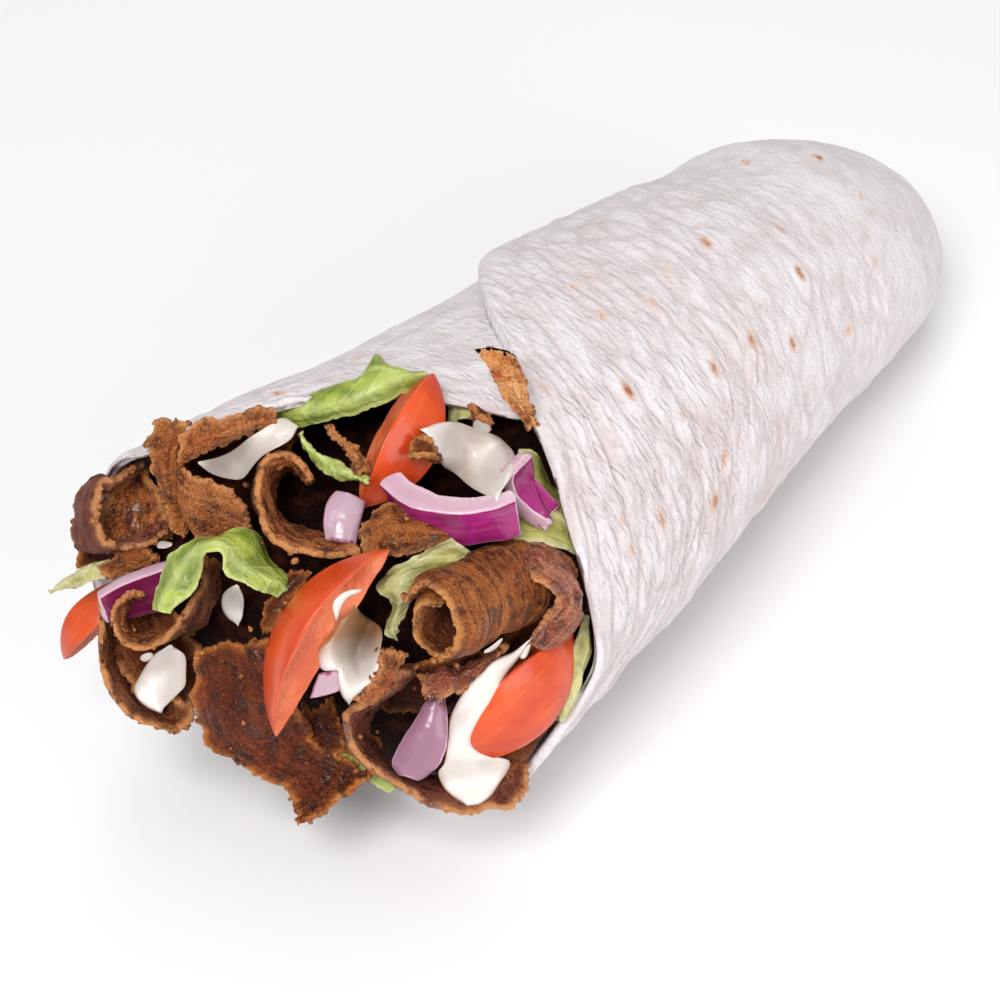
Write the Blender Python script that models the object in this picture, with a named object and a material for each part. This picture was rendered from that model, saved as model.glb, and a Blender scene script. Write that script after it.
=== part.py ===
"""Doner kebab in a rolled flour tortilla, with its slanting open mouth full of meat and salad.

The roll lies along X: the mouth is at -X, the folded end at +X, and it rests on Z = 0 on a
narrow flat strip. The origin is on that strip. Sizes below are in millimetres and degrees;
an angle round the roll is 0 at +Y (back), 90 on top, 180 at -Y (front) and 270 underneath.
The ingredients are placed in the mouth's own slanting frame: across, up and out of the mouth.
"""
import math

import bmesh
import bpy
import numpy as np
from mathutils.bvhtree import BVHTree

MM = 0.001

# The rolled tortilla
HALF_WIDTH = 36.5          # half width of the roll at the origin
TAPER = 0.086              # half width lost for each mm towards the folded end
YAW = 0.045                # sideways run of the middle line for each mm of x
YAW_FROM, YAW_ZERO = -12.0, 14.0   # where that run starts, and where it crosses the X axis
FLATNESS = 0.89            # height of the roll's section as a share of its width
END_SAG = 0.075            # how much flatter the section is at the folded end
SHEET = 1.8                # thickness of the tortilla
STEP = 2.1                 # drop from the outer flap to the flap under it
LIP_LIFT = 1.6             # how far the outer flap's edge stands up near its corner
REST_SINK = 0.8            # how far the underside is flattened
DOME_START, DOME_END = 70.0, 120.0
DOME_BLUNT = 0.36          # power of the rounding at the folded end: lower is blunter
DOME_DROP = 0.4            # share of the section's middle height lost at the folded end's tip
SEAM_START = 112.0         # angle at which the two flaps cross at the mouth
FLAP_TURN = 130.0          # how far round the sheet drops below the outer flap
SEAM_SPREAD = 0.54         # how much wider the rows open where the seam runs down the back
LIP_TURN = 45.0            # how far round the outer flap stands up from its edge
OVERLAP_TURN = 14.0        # how far round the sheet is double thick at the outer flap's edge
WALL_GAP = 0.6             # filling to tortilla
PIECE_GAP = 0.35           # ingredient to ingredient
SHORT_FLAKE = 12.5         # flakes up to this long are made of fewer faces

# The edge of the mouth, once round the roll: (angle, x)
MOUTH_RIM = ((112, -32), (122, -35), (141, -42), (160, -45), (184, -46), (193, -57), (204, -61),
             (235, -62), (265, -65), (295, -74), (325, -80), (355, -79), (385, -76), (410, -79),
             (419, -75), (426, -60), (437, -49.5), (449, -43.5), (464, -36), (472, -32))
# The outer flap's free edge, from the mouth along the top and the back: (x, angle)
SEAM = ((-32, 112), (-26, 102), (-20, 90), (-15, 79), (-8, 68), (1, 55), (14, 42), (34, 30), (60, 20),
        (78, 15), (108, 15))

# The mouth's frame
MOUTH_ORIGIN = np.array((-76.0, -6.0, 56.0))
ACROSS = np.array((0.616, -0.788, 0.0))
UPWARD = np.array((0.527, 0.412, 0.743))
OUTWARD = np.cross(ACROSS, UPWARD)


def smooth_step(value):
    """0 below 0, 1 above 1, with a smooth rise between."""
    value = np.clip(value, 0.0, 1.0)
    return value * value * (3.0 - 2.0 * value)


def half_width(x):
    """Half width of the plain roll at x, before the folded end rounds it off."""
    return HALF_WIDTH - TAPER * np.minimum(x, DOME_START)


def flatness(x):
    """Height of the section as a share of its width, lower towards the folded end."""
    return FLATNESS - END_SAG * smooth_step((x - 30.0) / 50.0)


def dome(x):
    """Share of the section left where the folded end rounds off: 1 along the roll, 0 at its tip."""
    along = np.clip((x - DOME_START) / (DOME_END - DOME_START), 0.0, 1.0)
    return (1.0 - along ** 2.0) ** DOME_BLUNT


def middle_line(x):
    """Sideways place and height of the middle of the roll's section at x."""
    drop = DOME_DROP * smooth_step((x - DOME_START) / (DOME_END - DOME_START))
    side = YAW * (np.maximum(x, YAW_FROM) - YAW_ZERO)
    return side, half_width(x) * flatness(x) * (1.0 - drop) - REST_SINK


def wall(x, angle, offset):
    """Points on the roll's wall, offset outwards from its base surface."""
    radius = half_width(x)
    turn = np.radians(angle)
    share = dome(x)
    side, middle = middle_line(x)
    y = side + (radius + offset) * share * np.cos(turn)
    z = middle + (radius * flatness(x) + offset) * share * np.sin(turn)
    return np.stack(np.broadcast_arrays(x, y, z), -1)


def rim_x(angle):
    """Where the mouth's edge is at an angle round the roll."""
    angles, places = np.array(MOUTH_RIM, float).T
    return np.interp((angle - SEAM_START) % 360.0 + SEAM_START, angles, places)


def flap_drop(x, angle):
    """How far the sheet lies below the base surface: nothing where the outer flap is the wall,
    most on the back, where the flap under it is, and little again right at the mouth."""
    share = smooth_step(((angle - SEAM_START) % 360.0 - 180.0) / FLAP_TURN)
    return STEP * share * smooth_step((x + 72.0) / 52.0)


def mesh_object(name, vertices, faces, colour, roughness):
    """A closed mesh object with its own material; vertices in millimetres."""
    mesh = bpy.data.meshes.new(name)
    mesh.from_pydata((np.asarray(vertices) * MM).tolist(), [], faces)
    shape = bmesh.new()
    shape.from_mesh(mesh)
    bmesh.ops.recalc_face_normals(shape, faces=shape.faces)
    if shape.calc_volume(signed=True) < 0:
        bmesh.ops.reverse_faces(shape, faces=shape.faces)
    shape.to_mesh(mesh)
    shape.free()
    item = bpy.data.objects.new(name, mesh)
    bpy.context.scene.collection.objects.link(item)
    material = bpy.data.materials.new(name)
    material.use_nodes = True
    shader = material.node_tree.nodes["Principled BSDF"]
    shader.inputs["Base Color"].default_value = (*colour, 1.0)
    shader.inputs["Roughness"].default_value = roughness
    mesh.materials.append(material)
    mesh.shade_smooth()
    mesh.set_sharp_from_angle(angle=math.radians(40))
    return item


def grid_faces(rows, columns, start, flip):
    """Quads over a rows x columns block of vertices that begins at start."""
    faces = []
    for i in range(rows - 1):
        for j in range(columns - 1):
            a = start + i * columns + j
            quad = (a, a + 1, a + columns + 1, a + columns)
            faces.append(quad[::-1] if flip else quad)
    return faces


def slab(top, bottom):
    """Closed shell between two grids of the same size: top, bottom and the strip round them."""
    rows, columns = top.shape[:2]
    count = rows * columns
    faces = grid_faces(rows, columns, 0, False) + grid_faces(rows, columns, count, True)
    border = ([j for j in range(columns)] + [i * columns + columns - 1 for i in range(1, rows)]
              + [(rows - 1) * columns + j for j in range(columns - 2, -1, -1)]
              + [i * columns for i in range(rows - 2, 0, -1)])
    for a, b in zip(border, border[1:] + border[:1]):
        faces.append((b, a, a + count, b + count))
    return np.concatenate((top.reshape(-1, 3), bottom.reshape(-1, 3))), faces


def grid_normals(grid):
    """Unit normals of a grid of points, from its own differences."""
    normal = np.cross(np.gradient(grid, axis=0), np.gradient(grid, axis=1))
    return normal / np.linalg.norm(normal, axis=-1, keepdims=True)


# ---------------------------------------------------------------- tortilla and packed filling

def build_tortilla(colour):
    """The rolled sheet: one shell from the mouth's edge to the folded end, its outer flap lying
    a step above the flap under it along the seam."""
    around, along, cap = 37, 9, 6
    angles, places = np.array(MOUTH_RIM, float).T
    lengths = np.hypot(np.diff(angles) * math.radians(HALF_WIDTH), np.diff(places))
    travel = np.concatenate(((0,), np.cumsum(lengths))) / lengths.sum()
    share = np.linspace(0, 1, around + 1)
    rim_angle = np.interp(share, travel, angles)
    rim_place = np.interp(share, travel, places)
    seam_x, seam_angle = np.array(SEAM, float).T
    steps = np.linspace(0, 1, along + 1)[:, None] ** 0.9
    x = rim_place + (DOME_START - rim_place) * steps
    lift = np.sin(np.linspace(0, math.pi / 2, cap + 1))[1:-1, None]
    x = np.concatenate((x, DOME_START + (DOME_END - DOME_START) * lift + 0 * rim_place))
    twist = np.abs(rim_angle - SEAM_START - 180.0) / 180.0
    angle = rim_angle + (np.interp(x, seam_x, seam_angle) - SEAM_START) * twist
    fade = 0.12 + 0.88 * (1.0 - smooth_step((x - 55.0) / 35.0))
    low = flap_drop(x, np.minimum(rim_angle, SEAM_START + 359.9)) * fade
    from_edge = (rim_angle - SEAM_START) * (1 + SEAM_SPREAD * twist)
    lip = LIP_LIFT * (1 - smooth_step(from_edge / LIP_TURN))
    lip = lip * smooth_step((x + 34) / 14) * smooth_step((45 - x) / 40)
    outer = wall(x, angle, lip - low)
    outer[..., 2] = np.maximum(outer[..., 2], 0.0)
    overlap = low[:, -1:] * (1 - smooth_step(from_edge / OVERLAP_TURN))
    inner = wall(x - SHEET * smooth_step((x - 70) / 30), angle, -SHEET - low - overlap)[:, :-1]
    inner[..., 2] = np.maximum(inner[..., 2], SHEET)
    rows = x.shape[0]
    wide, narrow = around + 1, around
    faces = grid_faces(rows, wide, 0, False)
    for i in range(rows - 1):
        here, after = i * wide, (i + 1) * wide
        faces.append((here + around, here, after, after + around))
    base = rows * wide
    tip_out = np.array((DOME_END, *middle_line(DOME_END)))
    tip_in = tip_out - (SHEET, 0, 0)
    last = base + rows * narrow
    for i in range(rows - 1):
        for j in range(narrow):
            a, b = base + i * narrow + j, base + i * narrow + (j + 1) % narrow
            faces.append((b, a, a + narrow, b + narrow))
    for j in range(around):
        faces.append((j + 1, j, base + j, base + (j + 1) % narrow))
        top = (rows - 1) * wide
        faces.append((top + j, top + j + 1, last))
        under = base + (rows - 1) * narrow
        faces.append((under + (j + 1) % narrow, under + j, last + 1))
    faces.append((0, around, base))
    faces.append(((rows - 1) * wide + around, (rows - 1) * wide, last))
    vertices = np.concatenate((outer.reshape(-1, 3), inner.reshape(-1, 3), (tip_out, tip_in)))
    return mesh_object("tortilla_wrap", vertices, faces, colour, 0.75)


CORE_BACK_OFF = 10.0       # how far the packed core stands back from the wall inside the mouth
CORE_NOSE = -79.0          # where the packed core ends at the mouth
CORE_BEND = -50.0          # where it starts to round off towards its nose
CORE_SLANT = 0.33          # how far the nose leans out on the back, for each mm across the roll


def build_core(colour):
    """The packed meat and salad that runs through the roll, close to the wall inside and drawn
    in to a rounded nose at the mouth, where the separate pieces lie on it."""
    around, nose_rows = 22, 5
    nose = CORE_BEND + (CORE_NOSE - CORE_BEND) * np.cos(np.linspace(0.22, math.pi / 2, nose_rows))
    body = np.array((-38, -26, -10, 25, 60, 78, 93, 106, 116.0))
    x = np.concatenate((nose, body))[:, None]
    angle = np.linspace(0, 360, around, endpoint=False)[None, :]
    toward_mouth = np.maximum(np.cos(np.radians(angle - 135.0)), 0.0)
    stand_back = CORE_BACK_OFF * smooth_step((-20.0 - x) / 26.0) * (0.2 + 0.8 * toward_mouth)
    off = SHEET + STEP + WALL_GAP + stand_back + 1.4 * smooth_step((-25.0 - x) / 20.0)
    radius = half_width(x)
    closing = np.clip(1 - (np.minimum(x - CORE_BEND, 0) / (CORE_NOSE - CORE_BEND)) ** 4, 0.02, 1) ** 0.5
    share = closing * dome(x + 2.5)
    turn = np.radians(angle)
    side, middle = middle_line(x)
    y = side + (radius - off) * share * np.cos(turn)
    z = middle + (radius * flatness(x) - off) * share * np.sin(turn)
    drop = 6.0 * smooth_step((-34.0 - x) / 30.0)
    slant = CORE_SLANT * y * smooth_step((-30.0 - x) / 30.0)
    points = np.stack(np.broadcast_arrays(x - slant, y, np.maximum(z - drop, SHEET + WALL_GAP)), -1)
    rows = points.shape[0]
    faces = []
    for i in range(rows - 1):
        for j in range(around):
            k = (j + 1) % around
            faces.append((i * around + j, i * around + k, (i + 1) * around + k, (i + 1) * around + j))
    faces.append(tuple(range(around))[::-1])
    faces.append(tuple((rows - 1) * around + j for j in range(around)))
    return mesh_object("packed_filling", points.reshape(-1, 3), faces, colour, 0.7)


# ---------------------------------------------------------------- shapes of the ingredients

def mouth_point(at):
    """World position of a place given as (across, up, out) in the mouth's frame."""
    across, up, out = at
    return MOUTH_ORIGIN + across * ACROSS + up * UPWARD + out * OUTWARD


def leaning_frame(lean):
    """Right, up and facing directions of a piece whose face leans away from the mouth's own
    facing, by (across, up) parts of its outward direction."""
    facing = OUTWARD + lean[0] * ACROSS + lean[1] * UPWARD
    facing = facing / np.linalg.norm(facing)
    right = ACROSS - (ACROSS @ facing) * facing
    right = right / np.linalg.norm(right)
    return right, np.cross(facing, right), facing


def tuck_in(grid, clearance):
    """Pull the points of a grid inside the tortilla wherever the wall encloses them."""
    x, y, z = grid[..., 0], grid[..., 1], grid[..., 2]
    radius = half_width(x)
    side, middle = middle_line(x)
    angle = np.degrees(np.arctan2(z - middle, y - side))
    room = SHEET + clearance + flap_drop(x, angle)
    reach = np.hypot((y - side) / (radius - room), (z - middle) / (radius * flatness(x) - room))
    outside = np.maximum(rim_x(angle) - 3.0 - x, 0.0)
    pull = np.minimum(1.0, (1.0 + outside / 14.0) / np.maximum(reach, 1e-6))
    floor = clearance + SHEET * (1.0 - smooth_step(outside / 4.0))
    return np.stack((x, side + (y - side) * pull, np.maximum(middle + (z - middle) * pull, floor)), -1)


def sheet_from(middle, thickness, loose=False):
    """A slice of even thickness round a middle surface, which is first tucked inside the wall
    unless it hangs loose over the edge."""
    if not loose:
        middle = tuck_in(middle, thickness / 2 + PIECE_GAP)
    offset = grid_normals(middle) * thickness / 2
    return slab(middle + offset, middle - offset)


def curl(at, radius, arc, depth, lean=(0, 0), squash=(1, 1), thickness=2.2, flare=0.0, growth=1.0,
         ragged=0.6, segments=9, slant=0.0):
    """A slice curled about an axis that points out of the mouth: an arc from arc[0] to arc[1],
    seen from outside, whose radius goes from radius[0] to radius[1], carried inwards by depth."""
    right, up, facing = leaning_frame(lean)
    u = np.linspace(0, 1, segments + 1)[:, None]
    v = np.linspace(0, 1, 3)[None, :]
    turn = np.radians(arc[0] + (arc[1] - arc[0]) * u)
    size = (radius[0] + (radius[1] - radius[0]) * u ** growth) * (1 + flare * (1 - v))
    rise = ragged * np.sin(11 * u + 2.1 * at[0]) * (1 - v) + slant * (u - 0.5)
    inward = depth * v - rise
    middle = (mouth_point(at) + (size * np.cos(turn) * squash[0])[..., None] * right
              + (size * np.sin(turn) * squash[1])[..., None] * up - inward[..., None] * facing)
    return sheet_from(middle, thickness)


def patch(at, size, lean=(0, 0), roll=0.0, thickness=1.9, bend=0.0, cup=0.0, ruffle=0.0, waves=3.0,
          taper=(1.0, 1.0), sway=0.0, blunt=0.55, loose=False):
    """A flat or bent flake: its length and width, bent along its length and cupped across it,
    with ruffled long edges and a width that changes from end to end."""
    right, up, facing = leaning_frame(lean)
    spin = math.radians(roll)
    length_way = math.cos(spin) * right + math.sin(spin) * up
    width_way = math.cos(spin) * up - math.sin(spin) * right
    u = np.linspace(-1, 1, 9 if size[0] > SHORT_FLAKE else 7)[:, None]
    v = np.linspace(-1, 1, 3)[None, :]
    width = size[1] / 2 * (taper[0] + (taper[1] - taper[0]) * (u + 1) / 2) * (1 - (1 - blunt) * u ** 4)
    lift = bend * u ** 2 + cup * v ** 2 + ruffle * v * np.sin(waves * math.pi * u + at[1]) + 0 * u * v
    middle = (mouth_point(at) + (size[0] / 2 * u + 0 * v)[..., None] * length_way
              + (width * v + sway * u ** 2)[..., None] * width_way + lift[..., None] * facing)
    return sheet_from(middle, thickness, loose)


def wedge(at, radius, pole, skin, opening=34.0, reach=50.0, flesh=8.0):
    """A tomato wedge: part of a ball's skin over a layer of flesh that thins out to both ends.
    pole is the direction of its long way, skin the way that its skin faces, both in the mouth's
    frame; reach is how far round the ball each end lies."""
    frame = np.stack((ACROSS, UPWARD, OUTWARD))
    along = np.array(pole, float) @ frame
    along = along / np.linalg.norm(along)
    face = np.array(skin, float) @ frame
    face = face - (face @ along) * along
    face = face / np.linalg.norm(face)
    side = np.cross(along, face)
    share = np.linspace(-1, 1, 9)[:, None]
    tilt = np.radians(reach * share)
    turn = np.radians(np.linspace(-opening / 2, opening / 2, 4))[None, :]
    out = np.cos(turn)[..., None] * face + np.sin(turn)[..., None] * side
    top = mouth_point(at) - radius * face + radius * (np.cos(tilt)[..., None] * out
                                                      + np.sin(tilt)[..., None] * along)
    depth = flesh * np.sqrt(1.0 - 0.98 * share ** 2) + 0 * turn
    return slab(top, top - depth[..., None] * out)


def flow(path, widths, height):
    """Thick sauce lying along a path of (across, up, out) places, domed across its width."""
    places = np.array([mouth_point(place) for place in path])
    knots = np.linspace(0, 1, len(path))
    u = np.linspace(0, 1, 7)
    line = np.stack([np.interp(u, knots, places[:, k]) for k in range(3)], -1)
    line[1:-1] = 0.25 * line[:-2] + 0.5 * line[1:-1] + 0.25 * line[2:]
    way = np.gradient(line, axis=0)
    side = np.cross(way, OUTWARD)
    side = side / np.linalg.norm(side, axis=-1, keepdims=True)
    width = np.interp(u, knots, widths) / 2 * (1 - (2 * u - 1) ** 6 * 0.75)
    v = np.linspace(-1, 1, 5)[None, :]
    dome_height = height * np.sqrt(1 - 0.96 * v ** 2) * (1 - 0.7 * (2 * u[:, None] - 1) ** 4)
    bottom = line[:, None, :] + (width[:, None] * v)[..., None] * side[:, None, :]
    return slab(bottom + dome_height[..., None] * OUTWARD, bottom - 0.5 * OUTWARD)


# ---------------------------------------------------------------- cutting the pieces clear

def swollen(item, gap):
    """A hidden copy of a piece grown by a gap all round, to cut its neighbours with."""
    mesh = item.data.copy()
    points = np.array([vertex.co for vertex in mesh.vertices])
    normals = np.array([vertex.normal for vertex in mesh.vertices])
    mesh.vertices.foreach_set("co", (points + normals * gap * MM).ravel())
    cutter = bpy.data.objects.new("cutter", mesh)
    cutter.hide_render = True
    cutter.display_type = "WIRE"
    bpy.context.scene.collection.objects.link(cutter)
    return cutter


def surface_tree(item):
    """Search tree over a piece's faces."""
    mesh = item.data
    return BVHTree.FromPolygons([vertex.co[:] for vertex in mesh.vertices],
                                [list(face.vertices) for face in mesh.polygons])


def keep_largest(mesh):
    """Delete every loose bit of a mesh except the largest; False if it isn't closed."""
    shape = bmesh.new()
    shape.from_mesh(mesh)
    bmesh.ops.remove_doubles(shape, verts=shape.verts, dist=2e-6)
    bmesh.ops.dissolve_degenerate(shape, edges=shape.edges, dist=2e-6)
    unseen = set(shape.verts)
    groups = []
    while unseen:
        stack = [next(iter(sorted(unseen, key=lambda vertex: vertex.index)))]
        unseen.discard(stack[0])
        group = []
        while stack:
            vertex = stack.pop()
            group.append(vertex)
            for edge in vertex.link_edges:
                other = edge.other_vert(vertex)
                if other in unseen:
                    unseen.discard(other)
                    stack.append(other)
        groups.append(group)
    groups.sort(key=len)
    for group in groups[:-1]:
        bmesh.ops.delete(shape, geom=group, context="VERTS")
    closed = bool(shape.edges) and all(len(edge.link_faces) == 2 for edge in shape.edges)
    if closed:
        shape.to_mesh(mesh)
    shape.free()
    return closed


def cut(item, cutter):
    """Take the cutter away from a piece and keep its largest remaining part."""
    for solver in ("EXACT", "MANIFOLD"):
        modifier = item.modifiers.new("clearance", "BOOLEAN")
        modifier.operation = "DIFFERENCE"
        modifier.solver = solver
        modifier.object = cutter
        graph = bpy.context.evaluated_depsgraph_get()
        mesh = bpy.data.meshes.new_from_object(item.evaluated_get(graph))
        item.modifiers.remove(modifier)
        if keep_largest(mesh):
            item.data = mesh
            return
    raise RuntimeError("not cut: " + item.name)


def clear_of(item, placed):
    """Cut a piece clear of every piece already placed that it runs into."""
    for cutter, tree in placed:
        if surface_tree(item).overlap(tree):
            cut(item, cutter)


# ---------------------------------------------------------------- the ingredients

COLOURS = {"tortilla": (0.86, 0.8, 0.74), "core": (0.1, 0.04, 0.02), "meat": (0.26, 0.1, 0.045),
           "tomato": (0.75, 0.13, 0.05), "onion": (0.4, 0.06, 0.25), "lettuce": (0.4, 0.55, 0.13),
           "sauce": (0.85, 0.82, 0.74)}

MEAT = {
    "meat_roll_tight": curl(at=(20, -6, 9), radius=(3.2, 7.2), arc=(60, 500), depth=25,
                            lean=(-0.8, -0.25), squash=(0.95, 1), thickness=2.4, segments=16),
    "meat_curl_hollow": curl(at=(4, 10, -2), radius=(11, 13.5), arc=(105, 330), depth=13,
                             lean=(0.3, 0.5), squash=(1, 0.95), thickness=2.3, segments=11),
    "meat_slice_hanging": patch(at=(-3.5, -23.1, -8), size=(27, 22), roll=-67, lean=(0.1, -0.45),
                                bend=4.5, cup=1.5, thickness=2.4, sway=3, blunt=0.95,
                                taper=(1.15, 0.64)),
    "meat_channel_right": curl(at=(22, -23, -10), radius=(14, 16.5), arc=(150, 325), depth=18,
                               lean=(-0.4, -0.6), squash=(1, 1.15), thickness=2.3, segments=11),
    "meat_cup_far_left": curl(at=(-27.5, 13.5, -13), radius=(1.6, 1.8), arc=(65, 320), depth=11,
                              lean=(0.1, 0.1), thickness=2.4, flare=4.2),
    "meat_curl_saucy_front": curl(at=(-14, 17, -15), radius=(7.5, 8), arc=(345, 165), depth=11,
                                  lean=(0.1, 1.1), thickness=2.2),
    "meat_curl_saucy_back": curl(at=(-13, 18, -18), radius=(8.5, 11), arc=(160, 40), depth=9,
                                 lean=(0.1, 0.9), thickness=2.2, segments=7),
    "meat_cup_lower_left": curl(at=(-25, -15, -19), radius=(9.5, 11), arc=(150, 320), depth=14,
                                lean=(-0.3, -0.3), thickness=2.3, segments=9),
    "meat_hook_left": curl(at=(-26, -6, -9), radius=(4.4, 14.5), arc=(55, 395), depth=9, growth=5.0,
                           lean=(0.05, 0.3), thickness=2.0, segments=13),
    "meat_fold_right": curl(at=(36, 0, -4), radius=(5.5, 7), arc=(130, -80), depth=14,
                            lean=(-0.8, -0.2), thickness=2.2),
    "meat_strip_back_left": patch(at=(-21.5, 16.5, -11), size=(16, 5), roll=-66, lean=(0.3, 0.2),
                                  bend=-1.5),
    "meat_flat_centre": patch(at=(16, 5.5, 0), size=(13, 8), roll=35, lean=(0, 0.4), thickness=2.2),
    "meat_strip_under_roll": patch(at=(29, -13, -3), size=(17, 6), roll=20, lean=(0.1, -0.4)),
    "meat_scrap_left": patch(at=(-27, 3, -17), size=(11, 8), roll=-30, lean=(-0.3, 0), bend=-1),
    "meat_shard_crisp": patch(at=(32, 31, -12), size=(14, 6), roll=-62, lean=(0.1, 0.3),
                              taper=(1, 0.35), thickness=1.6, cup=-0.8, loose=True),
    "meat_crumb_top": patch(at=(28, 27, -17), size=(7, 4.5), roll=75, lean=(0, 0.3)),
    "meat_splinter_back": patch(at=(7, 20, -3), size=(11, 3.2), roll=-55, lean=(0, 0.3),
                                taper=(0.5, 1)),
    "meat_crumb_centre": patch(at=(17.5, 20, -4), size=(5, 5), roll=10, lean=(0, 0.3)),
    "meat_scrap_middle": patch(at=(-4, -3, -1), size=(11, 5), roll=65, lean=(-0.3, 0)),
    "meat_scrap_rim": patch(at=(13, -13, 4), size=(9, 4.5), roll=60, lean=(0.2, -0.2), bend=-1),
    "meat_scrap_low": patch(at=(5, -23, -10), size=(12, 8), roll=70, lean=(0.3, -0.2)),
}
TOMATO = {
    "tomato_wedge_front": wedge(at=(-1, -5.5, 8), radius=21, pole=(0.52, 0.85, 0.05),
                                skin=(-0.9, 0.5, 0.6), opening=30, reach=48, flesh=9),
    "tomato_wedge_back": wedge(at=(18.5, 18.5, -4), radius=18, pole=(0.42, 0.88, -0.25),
                               skin=(0.9, -0.1, 0.5), opening=46, reach=40),
    "tomato_wedge_right": wedge(at=(31.5, -19.5, -6.5), radius=19, pole=(0.74, 0.62, -0.25),
                                skin=(0.15, -0.3, 1), opening=38, reach=46),
    "tomato_wedge_left": wedge(at=(-38, -3.5, -25), radius=13, pole=(0.7, 0.65, 0.1),
                               skin=(-0.5, 0.2, 0.8), opening=38, reach=52),
}
ONION = {
    "onion_arc_centre": curl(at=(26, 21, -3.5), radius=(14, 13), arc=(205, 300), depth=8,
                             lean=(-0.1, 0.9), thickness=3.0, ragged=0.0, segments=8, squash=(1, 0.9)),
    "onion_arc_top_right": curl(at=(29.5, 14, -5), radius=(7.5, 7.5), arc=(-70, 40), depth=7,
                                lean=(-0.2, 0.5), thickness=3.0, ragged=0.0, segments=6),
    "onion_chip_hollow": curl(at=(3, 9, -2), radius=(5, 5), arc=(-75, 45), depth=7, lean=(-0.3, 0.4),
                              thickness=3.4, ragged=0.0, segments=5),
    "onion_arc_left": curl(at=(-26, -10, -15), radius=(11, 11), arc=(50, 140), depth=7, lean=(0, -0.1),
                           thickness=2.6, ragged=0.0, segments=6),
    "onion_chip_lower": patch(at=(20, -24, -1), size=(15, 7.5), roll=62, lean=(-0.3, 0.1),
                              thickness=2.6, cup=-1.5, taper=(1.1, 0.6)),
    "onion_chip_small": patch(at=(4, -15, 6), size=(6, 3.5), roll=35, lean=(0, 0), thickness=2.4),
}
LETTUCE = {
    "lettuce_top": patch(at=(5, 29, -10), size=(27, 9), roll=14, lean=(0, 0.3), thickness=1.3,
                         ruffle=1.2, waves=1.6, bend=-1.5, sway=1.5, loose=True),
    "lettuce_sliver": patch(at=(5, 19, -4), size=(14, 4), roll=-50, lean=(0, 0.4), thickness=1.2,
                            ruffle=0.7),
    "lettuce_curl": patch(at=(-12, 2, 2), size=(21, 9), roll=-8, lean=(0, 0.3), thickness=1.3,
                          ruffle=1.8, waves=1.5, bend=-3.5),
    "lettuce_tip_left": patch(at=(-38, 0, -20), size=(11, 5), roll=35, lean=(0, 0.2), thickness=1.1,
                              taper=(0.25, 1)),
    "lettuce_centre": patch(at=(17, -1, 3), size=(17, 7), roll=50, lean=(-0.2, 0.2), thickness=1.2,
                            ruffle=1.0),
    "lettuce_right": patch(at=(38, 10, -13), size=(19, 9), roll=-60, lean=(0.3, 0.3), thickness=1.2,
                           ruffle=0.8),
    "lettuce_edge_right": patch(at=(41.5, -15, -17), size=(19, 4), roll=72, lean=(0.3, -0.1),
                                thickness=1.3, taper=(0.6, 1)),
    "lettuce_behind": patch(at=(25, 29, -21), size=(9, 5), roll=20, lean=(0, 0.4), thickness=1.2),
    "lettuce_low": patch(at=(7, -29, -14), size=(12, 5), roll=-30, lean=(0, -0.5), thickness=1.2,
                         ruffle=0.6),
}
SAUCE = {
    "sauce_pool_top": flow(path=((20, 24, -4), (27, 20, -4), (30, 12, -2)), widths=(9, 13, 8),
                           height=1.8),
    "sauce_flow_right": flow(path=((37, -10, -9), (29, -17, -7), (25, -26, -6), (27, -36, -10)),
                             widths=(4, 7, 10, 12), height=2.4),
    "sauce_dollop_left": flow(path=((-21, -9, -12), (-23, -14, -12), (-24, -19, -15)),
                              widths=(8, 11, 7), height=2.2),
    "sauce_on_tomato": flow(path=((9, -3, 9), (8, -10, 9), (6, -18, 8)), widths=(6, 9, 4), height=1.8),
    "sauce_pool_back": flow(path=((-5, 24, -15), (-9, 20, -14), (-14, 16, -13)), widths=(6, 10, 6),
                            height=2.0),
    "sauce_drip_middle": flow(path=((-9, 1, 3), (-10, -3, 3), (-11.5, -8, 2)), widths=(5, 5, 3.5),
                              height=1.8),
}


def main():
    for item in list(bpy.data.objects):
        bpy.data.objects.remove(item)
    placed = []

    def place(item):
        cutter = swollen(item, PIECE_GAP)
        placed.append((cutter, surface_tree(cutter)))

    place(build_tortilla(COLOURS["tortilla"]))
    place(build_core(COLOURS["core"]))
    for group, roughness, colour in ((MEAT, 0.55, "meat"), (TOMATO, 0.3, "tomato"), (ONION, 0.35, "onion"),
                                     (LETTUCE, 0.4, "lettuce"), (SAUCE, 0.3, "sauce")):
        for name, (vertices, faces) in group.items():
            item = mesh_object(name, vertices, faces, COLOURS[colour], roughness)
            clear_of(item, placed)
            place(item)


main()
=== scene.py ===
"""Looks of the doner kebab wrap: its meshes, finishes, light and camera.

Sizes are in millimetres and degrees. The roll lies along X with its mouth at -X; an angle round
it is 0 at +Y, 90 on top, 180 at -Y and 270 underneath. Ingredients are placed as (across, up,
out) in the mouth's own slanting frame, as in the solid model that the frame holds.
"""

import logging
import math
from collections.abc import Iterator
from dataclasses import dataclass, field
from enum import Enum, IntEnum
from typing import TypeVar

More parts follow.
